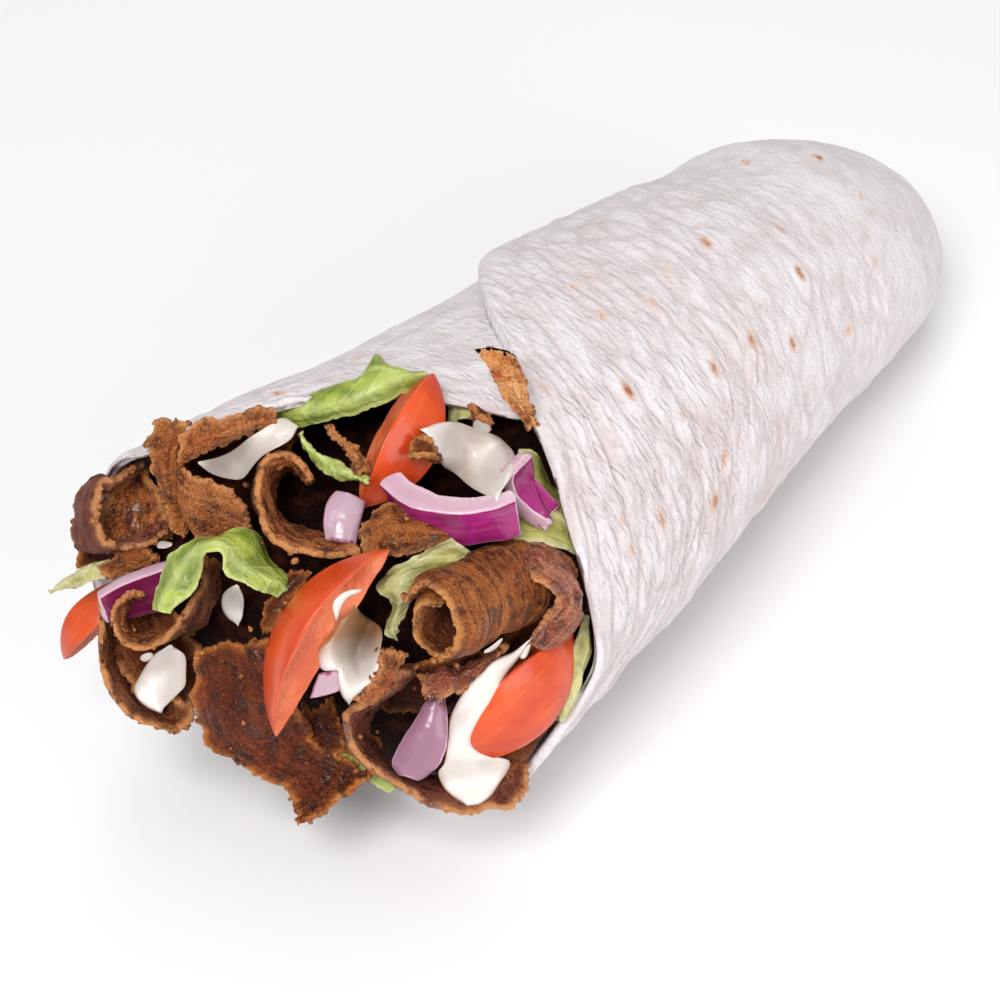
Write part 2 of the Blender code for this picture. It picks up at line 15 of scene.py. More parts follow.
import bpy
import numpy as np
from mathutils import Matrix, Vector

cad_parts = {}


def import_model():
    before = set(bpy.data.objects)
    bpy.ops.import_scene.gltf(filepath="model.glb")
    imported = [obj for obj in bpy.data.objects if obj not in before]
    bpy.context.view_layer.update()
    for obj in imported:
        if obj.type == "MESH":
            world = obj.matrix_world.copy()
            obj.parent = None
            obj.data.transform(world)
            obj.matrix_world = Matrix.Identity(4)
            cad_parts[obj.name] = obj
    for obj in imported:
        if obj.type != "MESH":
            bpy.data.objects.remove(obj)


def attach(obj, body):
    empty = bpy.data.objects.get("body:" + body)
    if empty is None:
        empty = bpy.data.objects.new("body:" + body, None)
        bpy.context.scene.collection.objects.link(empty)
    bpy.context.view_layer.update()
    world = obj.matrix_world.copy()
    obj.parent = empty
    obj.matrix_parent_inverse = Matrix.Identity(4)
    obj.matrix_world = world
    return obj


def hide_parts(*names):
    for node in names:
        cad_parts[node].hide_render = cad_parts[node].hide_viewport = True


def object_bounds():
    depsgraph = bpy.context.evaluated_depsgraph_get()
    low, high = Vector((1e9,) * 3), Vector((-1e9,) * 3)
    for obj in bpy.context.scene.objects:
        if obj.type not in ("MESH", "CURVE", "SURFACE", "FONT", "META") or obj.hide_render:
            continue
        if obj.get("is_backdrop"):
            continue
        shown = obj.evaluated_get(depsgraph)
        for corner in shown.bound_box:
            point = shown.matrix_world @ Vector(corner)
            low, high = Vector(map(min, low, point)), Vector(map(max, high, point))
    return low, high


Array = np.ndarray
Colour = tuple[float, float, float]
Place = tuple[float, float, float]
Entry = TypeVar("Entry")

MM = 0.001
MAP_MM = 0.01
SEED_STEP = 31
log = logging.getLogger("wrap")


# ------------------------------------------------------------------ numbers on whole arrays

def smooth_step(value: Array) -> Array:
    """0 below 0, 1 above 1, and 3v² - 2v³ between."""
    value = np.clip(value, 0.0, 1.0)
    return value * value * (3.0 - 2.0 * value)


def lattice_value(corner: Array, seed: int) -> Array:
    """A random value in -1..1 for each place with whole coordinates, stirred from them."""
    mixed = corner[..., 0] * 73856093 ^ corner[..., 1] * 19349663 ^ corner[..., 2] * 83492791 ^ seed * 52711
    mixed = ((mixed & 0x7FFFFFFF) ^ (mixed >> 13 & 0x3FFFF)) * 1274126177 & 0x7FFFFFFF
    mixed = (mixed ^ (mixed >> 15)) * 668265263 & 0x7FFFFFFF
    return (mixed ^ (mixed >> 16)) % 65536 / 32767.5 - 1.0


def lattice_noise(points: Array, cell: float, seed: int) -> Array:
    """Smooth random field: random values at the corners of cubes of side cell, blended inside
    each cube with a smooth step along every axis.

    Args:
        points: places, with x, y and z last.
        cell: side of the cubes, in the units of the points.
        seed: picks another field.

    Returns:
        One value in -1..1 for each point.
    """
    scaled = points / cell
    corner = np.floor(scaled).astype(np.int64)
    share = scaled - corner
    share = share * share * (3.0 - 2.0 * share)
    total = np.zeros(points.shape[:-1])
    for step in np.ndindex(2, 2, 2):
        near = np.where(np.array(step) == 1, share, 1.0 - share)
        total += lattice_value(corner + np.array(step), seed) * np.prod(near, axis=-1)
    return total


def cell_borders(at: Array, seed: int) -> tuple[Array, Array]:
    """Uneven cells round seeds, one seed scattered in each unit square of a plane.

    Args:
        at: places in the plane, with their two coordinates last.
        seed: picks other cells.

    Returns:
        The distance to the second nearest seed less that to the nearest, which is 0 on the
        border of a cell, and a random value in -1..1 for each cell.
    """
    corner = np.concatenate((np.floor(at), 0.0 * at[..., :1]), -1).astype(np.int64)
    first, second, own = (np.full(at.shape[:-1], start) for start in (9.0, 9.0, 0.0))
    for step in np.ndindex(3, 3):
        cell = corner + np.array((step[0] - 1, step[1] - 1, 0))
        spread = np.stack((lattice_value(cell, seed), lattice_value(cell, seed + 1)), -1)
        away = np.linalg.norm(cell[..., :2] + 0.5 + 0.45 * spread - at, axis=-1)
        second = np.where(away < first, first, np.minimum(second, away))
        own = np.where(away < first, lattice_value(cell, seed + 2), own)
        first = np.minimum(first, away)
    return second - first, own


def rough_noise(points: Array, cell: float, seed: int, octaves: int) -> Array:
    """Sum of random fields, each half the cell and a bit over half the height of the last."""
    layers = [0.55 ** k * lattice_noise(points, cell / 2 ** k, seed + 17 * k) for k in range(octaves)]
    return np.sum(layers, axis=0)


def unit(vectors: Array) -> Array:
    """Vectors at length one."""
    return vectors / np.maximum(np.linalg.norm(vectors, axis=-1, keepdims=True), 1e-12)


def grid_normals(grid: Array) -> Array:
    """Unit normals of a grid of points: the cross product of its two central differences."""
    return unit(np.cross(np.gradient(grid, axis=0), np.gradient(grid, axis=1)))


def border_distance(grid: Array) -> Array:
    """How far each point of a grid is from the nearest of the grid's four borders, measured
    along its own row and column."""
    result = np.full(grid.shape[:2], np.inf)
    for axis in (0, 1):
        steps = np.linalg.norm(np.diff(grid, axis=axis), axis=-1)
        start = np.zeros_like(np.take(steps, [0], axis))
        travel = np.concatenate((start, np.cumsum(steps, axis=axis)), axis=axis)
        length = np.take(travel, [-1], axis)
        result = np.minimum(result, np.minimum(travel, length - travel))
    return result


def crowded(count: int) -> Array:
    """Numbers from 0 to 1 that crowd towards both ends: half of one minus a cosine, mixed with
    even steps."""
    even = np.linspace(0.0, 1.0, count)
    return 0.75 * (0.5 - 0.5 * np.cos(math.pi * even)) + 0.25 * even


def soft_curve(knots: tuple[tuple[float, float], ...], at: Array, blur: float) -> Array:
    """Straight lines between knots, smoothed by a bell of the given half width."""
    places, values = np.array(knots, float).T
    fine = np.linspace(places[0], places[-1], 800)
    line = np.interp(fine, places, values)
    reach = max(int(2.5 * blur / (fine[1] - fine[0])), 1)
    bell = np.exp(-0.5 * (np.arange(-reach, reach + 1) * (fine[1] - fine[0]) / blur) ** 2)
    padded = np.pad(line, reach, mode="reflect", reflect_type="odd")
    return np.interp(at, fine, np.convolve(padded, bell / bell.sum(), mode="valid"))


# ------------------------------------------------------------------ meshes

@dataclass
class Skin:
    """A closed surface: points in millimetres, faces of four, and marks kept on its points."""
    points: Array
    faces: Array
    marks: dict[str, Array] = field(default_factory=dict)
    fans: Array = field(default_factory=lambda: np.zeros((0, 3), int))


def block_faces(index: Array, flip: bool = False) -> Array:
    """Faces of four over a block of point numbers, facing the way its normals point."""
    a, b, c, d = index[:-1, :-1], index[1:, :-1], index[1:, 1:], index[:-1, 1:]
    corners = (a, d, c, b) if flip else (a, b, c, d)
    return np.stack([corner.ravel() for corner in corners], -1)


def paired_faces(rows: int, columns: int) -> Array:
    """Faces of two grids that look opposite ways and share their border.

    Args:
        rows: rows of each grid.
        columns: columns of each grid.

    Returns:
        Faces over all the points of the first grid, followed by those inside the second one.
    """
    top = np.arange(rows * columns).reshape(rows, columns)
    low = top.copy()
    low[1:-1, 1:-1] = rows * columns + np.arange((rows - 2) * (columns - 2)).reshape(rows - 2, -1)
    return np.concatenate((block_faces(top), block_faces(low, True)))


def closed_slice(middle: Array, half: Array, rim: float, lumps: Array, rim_reach: float) -> Skin:
    """Skin of a slice round a middle surface.

    Each face stands off the middle along its normal by half the thickness times a rounding that
    is √(1 - (1 - d/rim)²) for a distance d from the border, so the two meet there.

    Args:
        middle: grid of points.
        half: half thickness at each point.
        rim: how far in from the border the edge is rounded.
        lumps: unevenness of the outer face, added where the slice has its full thickness.
        rim_reach: how far in from the border the mark called edge fades out.

    Returns:
        The closed surface, with marks edge (1 at the border), outside (1 on the face that the
        normals leave), inside (1 on the other) and the slice's own u and v in millimetres.
    """
    border = border_distance(middle)
    rounding = np.sqrt(1.0 - (1.0 - np.clip(border / rim, 0.0, 1.0)) ** 2)
    normal = grid_normals(middle)
    over = middle + ((half + lumps) * rounding)[..., None] * normal
    under = middle - ((half - 0.6 * lumps) * rounding)[..., None] * normal
    rows, columns = middle.shape[:2]
    edge = np.exp(-(border / rim_reach) ** 2)
    side = np.minimum(border / rim, 1.0)
    length = np.linalg.norm(np.diff(middle, axis=0), axis=-1).mean(1).sum()
    width = np.linalg.norm(np.diff(middle, axis=1), axis=-1).sum(1).mean()
    u, v = np.meshgrid(np.linspace(0, length, rows), np.linspace(0, width, columns), indexing="ij")

    def both(over_grid: Array, under_grid: Array) -> Array:
        """Values on the outer face, and then on the inside of the other one."""
        inner = under_grid[1:-1, 1:-1].reshape(-1, *under_grid.shape[2:])
        return np.concatenate((over_grid.reshape(-1, *over_grid.shape[2:]), inner))

    marks = {"edge": both(edge, edge), "outside": both(side, 0.0 * side),
             "inside": both(0.0 * side, side), "u": both(u, u), "v": both(v, v)}
    return Skin(both(over, under), paired_faces(rows, columns), marks)


def ring_faces(rows: int, columns: int) -> tuple[Array, Array]:
    """Faces between closed rings of points, and fans that close both ends.

    Args:
        rows: number of rings.
        columns: points in each ring.

    Returns:
        The faces of four, and the fans to the two points that follow those of the rings.
    """
    index = np.arange(rows * columns).reshape(rows, columns)
    index = np.concatenate((index, index[:, :1]), axis=1)
    first = np.stack((index[0, :-1], index[0, 1:], np.full(columns, rows * columns)), -1)
    last = np.stack((index[-1, 1:], index[-1, :-1], np.full(columns, rows * columns + 1)), -1)
    return block_faces(index), np.concatenate((first, last))


def closed_loft(rings: Array) -> Skin:
    """Skin through closed rings of points, with a point at the middle of the first and last."""
    rows, columns = rings.shape[:2]
    faces, fans = ring_faces(rows, columns)
    ends = np.stack((rings[0].mean(0), rings[-1].mean(0)))
    u, v = np.meshgrid(np.linspace(0, 1, rows), np.linspace(0, 1, columns), indexing="ij")
    marks = {"u": np.append(u.ravel(), (0.0, 1.0)), "v": np.append(v.ravel(), (0.5, 0.5))}
    return Skin(np.concatenate((rings.reshape(-1, 3), ends)), faces, marks, fans)


def signed_volume(skin: Skin) -> float:
    """Six times the volume inside a surface, negative where its faces point inwards."""
    triangles = np.concatenate((skin.faces[:, :3], skin.faces[:, [0, 2, 3]], skin.fans))
    a, b, c = (skin.points[triangles[:, k]] for k in range(3))
    return float(np.einsum("ij,ij->", a, np.cross(b, c)))


@dataclass
class Workbench:
    """Turns surfaces into pieces of the scene, kept inside the solid model's box."""
    low: Array
    high: Array
    pieces: list[bpy.types.Object] = field(default_factory=list)

    def make(self, name: str, skin: Skin, finish: bpy.types.Material, slot: str, *nodes: str) -> None:
        """Make one piece, which rides on the root body.

        Args:
            name: the piece's name.
            skin: its surface.
            finish: its material.
            slot: not used.
            nodes: solid nodes that it stands for.
        """
        faces, fans = skin.faces, skin.fans
        if signed_volume(skin) < 0.0:
            faces, fans = faces[:, ::-1], fans[:, ::-1]
        points = np.clip(skin.points * MM, self.low, self.high)
        mesh = bpy.data.meshes.new(name)
        mesh.vertices.add(len(points))
        mesh.vertices.foreach_set("co", points.ravel())
        corners = np.concatenate((faces.ravel(), fans.ravel()))
        starts = np.concatenate((np.arange(len(faces)) * 4, len(faces) * 4 + np.arange(len(fans)) * 3))
        mesh.loops.add(len(corners))
        mesh.loops.foreach_set("vertex_index", corners)
        mesh.polygons.add(len(starts))
        mesh.polygons.foreach_set("loop_start", starts)
        mesh.polygons.foreach_set("use_smooth", np.ones(len(starts), bool))
        for mark, values in skin.marks.items():
            if mark not in ("u", "v"):
                layer = mesh.attributes.new(mark, "FLOAT", "POINT")
                layer.data.foreach_set("value", np.asarray(values, np.float32))
        spread = mesh.uv_layers.new(name="spread")
        pair = np.stack((skin.marks["u"], skin.marks["v"]), -1)[corners] * MAP_MM
        spread.data.foreach_set("uv", pair.astype(np.float32).ravel())
        mesh.update(calc_edges=True)
        mesh.validate()
        piece = bpy.data.objects.new(name, mesh)
        bpy.context.scene.collection.objects.link(piece)
        mesh.materials.append(finish)
        if nodes:
            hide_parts(*nodes)
        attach(piece, "root")
        self.pieces.append(piece)
        log.info("made %s", name)


# ------------------------------------------------------------------ the roll and its mouth

@dataclass(frozen=True)
class Roll:
    """The rolled tortilla's base surface, which the solid model shares."""
    half_width: float = 36.5
    taper: float = 0.086
    yaw: float = 0.045
    yaw_from: float = -12.0
    yaw_zero: float = 14.0
    flat: float = 0.89
    end_sag: float = 0.075
    sheet: float = 1.8
    step: float = 2.1
    lip_lift: float = 1.6
    rest_sink: float = 0.8
    dome_start: float = 70.0
    dome_end: float = 120.0
    dome_blunt: float = 0.36
    dome_drop: float = 0.4
    seam_start: float = 112.0
    flap_turn: float = 130.0
    seam_spread: float = 0.54
    lip_turn: float = 45.0
    rim: tuple[tuple[float, float], ...] = (
        (112, -32), (122, -35), (141, -42), (160, -45), (184, -46), (193, -57), (204, -61),
        (235, -62), (265, -65), (295, -74), (325, -80), (355, -79), (385, -76), (410, -79),
        (419, -75), (426, -60), (437, -49.5), (449, -43.5), (464, -36), (472, -32))
    seam: tuple[tuple[float, float], ...] = (
        (-32, 112), (-26, 102), (-20, 90), (-15, 79), (-8, 68), (1, 55), (14, 42), (34, 30),
        (60, 20), (78, 15), (120, 15))

    def width_at(self, x: Array) -> Array:
        """Half width of the plain roll at x."""
        return self.half_width - self.taper * np.minimum(x, self.dome_start)

    def flatness(self, x: Array) -> Array:
        """Height of the section as a share of its width."""
        return self.flat - self.end_sag * smooth_step((x - 30.0) / 50.0)

    def dome(self, x: Array) -> Array:
        """Share of the section left where the folded end rounds off."""
        along = np.clip((x - self.dome_start) / (self.dome_end - self.dome_start), 0.0, 1.0)
        return (1.0 - along ** 2.0) ** self.dome_blunt

    def middle(self, x: Array) -> tuple[Array, Array]:
        """Sideways place and height of the section's middle."""
        drop = self.dome_drop * smooth_step((x - self.dome_start) / (self.dome_end - self.dome_start))
        side = self.yaw * (np.maximum(x, self.yaw_from) - self.yaw_zero)
        return side, self.width_at(x) * self.flatness(x) * (1.0 - drop) - self.rest_sink

    def wall(self, x: Array, angle: Array, offset: Array) -> Array:
        """Points on the wall: an ellipse round the middle line, grown by an offset."""
        radius, share, turn = self.width_at(x), self.dome(x), np.radians(angle)
        side, middle = self.middle(x)
        y = side + (radius + offset) * share * np.cos(turn)
        z = middle + (radius * self.flatness(x) + offset) * share * np.sin(turn)
        return np.stack(np.broadcast_arrays(x, y, z), -1)

    def rim_x(self, angle: Array) -> Array:
        """Where the mouth's edge is at an angle round the roll."""
        return soft_curve(self.rim, (angle - self.seam_start) % 360.0 + self.seam_start, 3.5)

    def flap_drop(self, x: Array, angle: Array) -> Array:
        """How far the sheet lies below the base surface where the flap under the outer one is."""
        share = smooth_step(((angle - self.seam_start) % 360.0 - 180.0) / self.flap_turn)
        return self.step * share * smooth_step((x + 72.0) / 52.0)


@dataclass(frozen=True)
class Mouth:
    """The mouth's slanting frame, and the room that the tortilla leaves in it."""
    roll: Roll
    origin: Place = (-76.0, -6.0, 56.0)
    across: Place = (0.616, -0.788, 0.0)
    upward: Place = (0.527, 0.412, 0.743)
    middle: tuple[float, float] = (30.5, 12.6)
    focus: float = 364.0

    @property
    def frame(self) -> Array:
        """Across, up and out as rows."""
        return np.stack((self.across, self.upward, np.cross(self.across, self.upward)))

    def point(self, at: Array) -> Array:
        """World place of (across, up, out)."""
        return np.array(self.origin) + np.asarray(at, float) @ self.frame

    def cast(self, at: Array) -> Array:
        """World places of (across, up, out), where across and up are read on the mouth's plane
        and carried in or out along lines that meet at a point in front of it."""
        at = np.asarray(at, float)
        middle = np.array(self.middle)
        flat = middle + (at[..., :2] - middle) * (1.0 - at[..., 2:] / self.focus)
        return self.point(np.concatenate((flat, at[..., 2:]), -1))

    def seen(self, points: Array) -> Array:
        """(across, up, out) of world places, read as cast reads them."""
        local = (points - np.array(self.origin)) @ self.frame.T
        middle = np.array(self.middle)
        flat = middle + (local[..., :2] - middle) / (1.0 - local[..., 2:] / self.focus)
        return np.concatenate((flat, local[..., 2:]), -1)

    def leaning(self, lean: tuple[float, float]) -> tuple[Array, Array, Array]:
        """Right, up and facing directions of a piece that leans by (across, up) parts."""
        across, upward, outward = self.frame
        facing = unit(outward + lean[0] * across + lean[1] * upward)
        right = unit(across - (across @ facing) * facing)
        return right, np.cross(facing, right), facing

    def tuck_in(self, grid: Array, clearance: float) -> Array:
        """Pull the points of a grid inside the tortilla wherever its wall encloses them."""
        roll = self.roll
        x, y, z = grid[..., 0], grid[..., 1], grid[..., 2]
        radius = roll.width_at(x)
        side, middle = roll.middle(x)
        angle = np.degrees(np.arctan2(z - middle, y - side))
        room = roll.sheet + clearance + roll.flap_drop(x, angle)
        reach = np.hypot((y - side) / (radius - room), (z - middle) / (radius * roll.flatness(x) - room))
        outside = np.maximum(roll.rim_x(angle) - 3.0 - x, 0.0)
        pull = np.minimum(1.0, (1.0 + outside / 14.0) / np.maximum(reach, 1e-6))
        floor = clearance + roll.sheet * (1.0 - smooth_step(outside / 4.0))
        return np.stack((x, side + (y - side) * pull, np.maximum(middle + (z - middle) * pull, floor)), -1)


# ------------------------------------------------------------------ shader graphs

class Graph:
    """A node tree with short calls to add and link nodes."""

    def __init__(self, tree: bpy.types.NodeTree) -> None:
        """Keep the tree."""
        self.tree = tree

    def add(self, kind: str, values: dict | None = None, **settings: object) -> bpy.types.Node:
        """Add a node.

        Args:
            kind: the node's type without its ShaderNode prefix.
            values: inputs by name or number: plain values, or sockets to link from.
            settings: the node's own settings.

        Returns:
            The node.
        """
        node = self.tree.nodes.new("ShaderNode" + kind)
        for name, value in settings.items():
            setattr(node, name, value)
        self.feed(node, values or {})
        return node

    def feed(self, node: bpy.types.Node, values: dict) -> None:
        """Set a node's inputs by name or number: plain values, or sockets to link from."""
        for name, value in values.items():
            if isinstance(value, bpy.types.NodeSocket):
                self.tree.links.new(value, node.inputs[name])
            else:
                node.inputs[name].default_value = value

    def math(self, operation: str, a: object, b: object = 0.0, clamp: bool = False) -> bpy.types.NodeSocket:
        """Result of a Math node."""
        return self.add("Math", {0: a, 1: b}, operation=operation, use_clamp=clamp).outputs[0]

    def ramp(self, value: object, low: float, high: float, most: object = 1.0) -> bpy.types.NodeSocket:
        """A value carried smoothly from low..high to 0..most."""
        return self.add("MapRange", {"Value": value, "From Min": low, "From Max": high, "To Max": most},
                        interpolation_type="SMOOTHSTEP").outputs["Result"]

    def blend(self, share: object, a: object, b: object) -> bpy.types.NodeSocket:
        """Two colours mixed by a share."""
        a, b = (value if isinstance(value, bpy.types.NodeSocket) else (*value, 1.0) for value in (a, b))
        return self.add("Mix", {0: share, 6: a, 7: b}, data_type="RGBA").outputs[2]

    def noise(self, size: float, detail: float = 3.0, warp: float = 0.0) -> bpy.types.NodeSocket:
        """Noise on object coordinates, whose features are about size millimetres."""
        where = self.add("TexCoord").outputs["Object"]
        node = self.add("TexNoise", {"Vector": where, "Scale": 1.0 / (size * MM), "Detail": detail,
                                     "Distortion": warp})
        return node.outputs["Fac"]

    def mark(self, name: str) -> bpy.types.NodeSocket:
        """A mark kept on the piece's points."""
        return self.add("Attribute", attribute_name=name).outputs["Fac"]

    def stretched(self, long: float, wide: float) -> bpy.types.NodeSocket:
        """The piece's own map of its surface, counted in steps of long by wide millimetres."""
        spread = self.add("UVMap", uv_map="spread").outputs["UV"]
        scale = (1.0 / (long * MAP_MM), 1.0 / (wide * MAP_MM), 1.0)
        return self.add("Mapping", {"Vector": spread, "Scale": scale}).outputs[0]

    def streaks(self, long: float, wide: float, detail: float, warp: float) -> bpy.types.NodeSocket:
        """Noise whose features are about long by wide millimetres on the piece's own map."""
        return self.add("TexNoise", {"Vector": self.stretched(long, wide), "Scale": 1.0, "Detail": detail,
                                     "Distortion": warp}).outputs["Fac"]

    def cells(self, long: float, wide: float) -> bpy.types.NodeSocket:
        """Distance from the borders of uneven cells, about long by wide millimetres on the
        piece's own map and bent by noise; 0 on a border."""
        where = self.stretched(long, wide)
        bend = self.add("TexNoise", {"Vector": where, "Scale": 0.8, "Detail": 2.0}).outputs["Color"]
        bent = self.add("VectorMath", {0: where, 1: bend}, operation="ADD").outputs[0]
        return self.add("TexVoronoi", {"Vector": bent, "Scale": 1.0},
                        feature="DISTANCE_TO_EDGE").outputs["Distance"]

    def grain(self, group: bpy.types.NodeTree, patches: float, crumbs: float) -> list[bpy.types.NodeSocket]:
        """Patch value, grain value and height of the shared grain, whose scales are counted for
        each metre."""
        node = self.add("Group", {"Patch scale": patches, "Grain scale": crumbs}, node_tree=group)
        return list(node.outputs)


def grain_group() -> bpy.types.NodeTree:
    """Uneven grain that several finishes share: coarse patches and fine crumbs on object
    coordinates, put out as a patch value, a grain value and a height."""
    tree = bpy.data.node_groups.new("uneven_grain", "ShaderNodeTree")
    for name, kind, way, start in (("Patch scale", "NodeSocketFloat", "INPUT", 200.0),
                                   ("Grain scale", "NodeSocketFloat", "INPUT", 900.0),
                                   ("Patch", "NodeSocketFloat", "OUTPUT", 0.0),
                                   ("Grain", "NodeSocketFloat", "OUTPUT", 0.0),
                                   ("Height", "NodeSocketFloat", "OUTPUT", 0.0)):
        socket = tree.interface.new_socket(name=name, in_out=way, socket_type=kind)
        if way == "INPUT":
            socket.default_value = start
    graph = Graph(tree)
    entry = tree.nodes.new("NodeGroupInput")
    leave = tree.nodes.new("NodeGroupOutput")
    where = graph.add("TexCoord").outputs["Object"]
    patch = graph.add("TexNoise", {"Vector": where, "Scale": entry.outputs["Patch scale"], "Detail": 4.0,
                                   "Distortion": 0.4}).outputs["Fac"]
    grain = graph.add("TexNoise", {"Vector": where, "Scale": entry.outputs["Grain scale"], "Detail": 5.0,
                                   "Roughness": 0.65}).outputs["Fac"]
    cells = graph.add("TexVoronoi", {"Vector": where, "Scale": entry.outputs["Grain scale"],
                                     "Randomness": 1.0}).outputs["Distance"]
    crumbs = graph.math("SUBTRACT", grain, graph.math("MULTIPLY", cells, 0.45))
    height = graph.math("ADD", crumbs, graph.math("MULTIPLY", patch, 0.6))
    tree.links.new(patch, leave.inputs["Patch"])
    tree.links.new(grain, leave.inputs["Grain"])
    tree.links.new(height, leave.inputs["Height"])
    return tree


def new_finish(name: str) -> tuple[bpy.types.Material, Graph, bpy.types.Node]:
    """A fresh material, its graph and its Principled shader."""
    material = bpy.data.materials.new(name)
    material.use_nodes = True
    shader = material.node_tree.nodes["Principled BSDF"]
    return material, Graph(material.node_tree), shader


def lay_bump(graph: Graph, shader: bpy.types.Node, height: bpy.types.NodeSocket, depth: float) -> None:
    """Bump a shader by a height, whose full range is depth millimetres."""
    bump = graph.add("Bump", {"Height": height, "Distance": depth * MM, "Strength": 1.0})
    graph.feed(shader, {"Normal": bump.outputs["Normal"]})


class MeatTone(Enum):
    """How dark a slice of meat is roasted."""
    ROASTED = "roasted"
    GOLDEN = "golden"
    DARK = "dark"
    CRISP = "crisp"
    GLAZED = "glazed"


class OnionCut(Enum):
    """How a piece of onion was cut."""
    RING = "ring"
    CHIP = "chip"
    PETAL = "petal"


@dataclass(frozen=True)
class MeatFinish:
    """Roast meat: dark and mid brown in patches, golden fibres and crumbs, painted highlight specks, a torn
    rim, painted shade on the hollow side, and a thin wet gloss that the grain breaks up."""
    grain: bpy.types.NodeTree
    tone: MeatTone

    def material(self) -> bpy.types.Material:
        """Build the shader graph."""
        dark, brown, light, rim, gloss = {
            MeatTone.ROASTED: ((0.1, 0.02, 0.007), (0.41, 0.11, 0.03), (0.8, 0.3, 0.1),
                               (0.88, 0.38, 0.14), 0.35),
            MeatTone.GOLDEN: ((0.09, 0.016, 0.004), (0.29, 0.07, 0.015), (0.62, 0.21, 0.055),
                              (0.9, 0.4, 0.13), 0.35),
            MeatTone.DARK: ((0.05, 0.009, 0.004), (0.13, 0.025, 0.01), (0.29, 0.07, 0.026),
                            (0.74, 0.24, 0.05), 0.35),
            MeatTone.CRISP: ((0.5, 0.12, 0.025), (0.95, 0.34, 0.08), (1.0, 0.58, 0.28),
                             (0.95, 0.46, 0.18), 0.2),
            MeatTone.GLAZED: ((0.12, 0.022, 0.011), (0.35, 0.09, 0.045), (0.7, 0.29, 0.19),
                              (0.86, 0.38, 0.15), 0.8)}[self.tone]
        material, graph, shader = new_finish("meat_" + self.tone.value)
        patch, grit, rise = graph.grain(self.grain, 330.0, 2300.0)
        wide = graph.ramp(graph.noise(7.0, 3.0, 0.5), 0.42, 0.62)
        fibres = graph.streaks(7.0, 0.9, 4.0, 0.6)
        colour = graph.blend(graph.math("MULTIPLY", wide, 0.5), brown, light)
        colour = graph.blend(graph.ramp(patch, 0.58, 0.38), colour, dark)
        streak = graph.ramp(fibres, 0.44, 0.68, 0.7)
        colour = graph.blend(streak, colour, light)
        pits = graph.ramp(grit, 0.5, 0.36, 0.6)
        colour = graph.blend(pits, colour, dark)
        crumbs = graph.ramp(grit, 0.52, 0.66, 0.65)
        colour = graph.blend(crumbs, colour, light)
        # Painted highlight: bright specks of the rim colour on the grain's highest values stand in for
        # specular sparkle.
        painted_glints = graph.ramp(grit, 0.6, 0.7, 0.5)
        colour = graph.blend(painted_glints, colour, rim)
        # Painted shade: the hollow face of each slice, found by its inside mark, is darkened towards the dark
        # brown.
        hollow = graph.ramp(graph.mark("inside"), 0.0, 0.9, 0.66)
        colour = graph.blend(hollow, colour, dark)
        torn = graph.math("MULTIPLY", graph.mark("edge"), graph.ramp(patch, 0.3, 0.55))
        colour = graph.blend(graph.math("MULTIPLY", torn, 0.85), colour, rim)
        rough = graph.add("MapRange", {"Value": grit, "From Min": 0.3, "From Max": 0.7,
                                       "To Min": 0.34, "To Max": 0.7}).outputs["Result"]
        dry = graph.ramp(graph.mark("inside"), 0.9, 0.0, gloss)
        wet = graph.ramp(patch, 0.5, 0.36, dry)
        graph.feed(shader, {"Base Color": colour, "Roughness": rough, "Coat Weight": wet,
                            "Coat Roughness": 0.2, "Specular IOR Level": 0.24})
        height = graph.math("ADD", rise, graph.math("MULTIPLY", fibres, 0.8))
        lay_bump(graph, shader, height, 1.0)
        return material


@dataclass(frozen=True)
class TortillaFinish:
    """Soft wheat flatbread: cool cream, fine wrinkles and pores, floury mottling, painted shade along the
    creases and blister borders, and toasted spots where its marks say so."""
    grain: bpy.types.NodeTree
    flour: Colour = (0.75, 0.71, 0.745)
    cream: Colour = (0.68, 0.62, 0.625)
    crease_shade: Colour = (0.54, 0.45, 0.43)
    toast: Colour = (0.34, 0.12, 0.055)
    tan: Colour = (0.66, 0.44, 0.32)

    def material(self) -> bpy.types.Material:
        """Build the shader graph."""
        material, graph, shader = new_finish("tortilla_flatbread")
        patch, grit, rise = graph.grain(self.grain, 150.0, 900.0)
        colour = graph.blend(graph.ramp(patch, 0.32, 0.6), self.cream, self.flour)
        crease = graph.ramp(graph.cells(10.0, 1.9), 0.26, 0.0)
        crease = graph.math("MULTIPLY", crease, graph.mark("wrinkle"))
        broken = graph.ramp(graph.noise(3.0, 3.0), 0.38, 0.6)
        crease = graph.math("MULTIPLY", crease, broken)
        # Painted shade: the creases, and the marked wrinkle lines and blister borders, are darkened towards
        # the crease-shade colour.
        lines = graph.math("ADD", graph.math("MULTIPLY", crease, 0.22),
                           graph.math("MULTIPLY", graph.mark("crease_shade"), 0.5), clamp=True)
        colour = graph.blend(lines, colour, self.crease_shade)
        speck = graph.ramp(graph.noise(5.0, 3.0), 0.64, 0.76)
        colour = graph.blend(graph.math("MULTIPLY", speck, 0.25), colour, self.tan)
        uneven = graph.ramp(grit, 0.15, 0.55)
        halo = graph.ramp(graph.mark("toast"), 0.04, 0.45, uneven)
        colour = graph.blend(graph.math("MULTIPLY", halo, 0.85), colour, self.tan)
        centre = graph.ramp(graph.mark("toast"), 0.35, 0.85, uneven)
        colour = graph.blend(centre, colour, self.toast)
        graph.feed(shader, {"Base Color": colour, "Roughness": 0.62, "Subsurface Weight": 0.08,
                            "Subsurface Scale": 0.001, "Subsurface Radius": (1.0, 0.75, 0.6),
                            "Specular IOR Level": 0.35})
        pores = graph.math("ADD", graph.math("MULTIPLY", rise, 0.42),
                           graph.math("MULTIPLY", patch, 0.5))
        height = graph.math("SUBTRACT", pores, graph.math("MULTIPLY", crease, 0.3))
        lay_bump(graph, shader, height, 0.9)
        return material


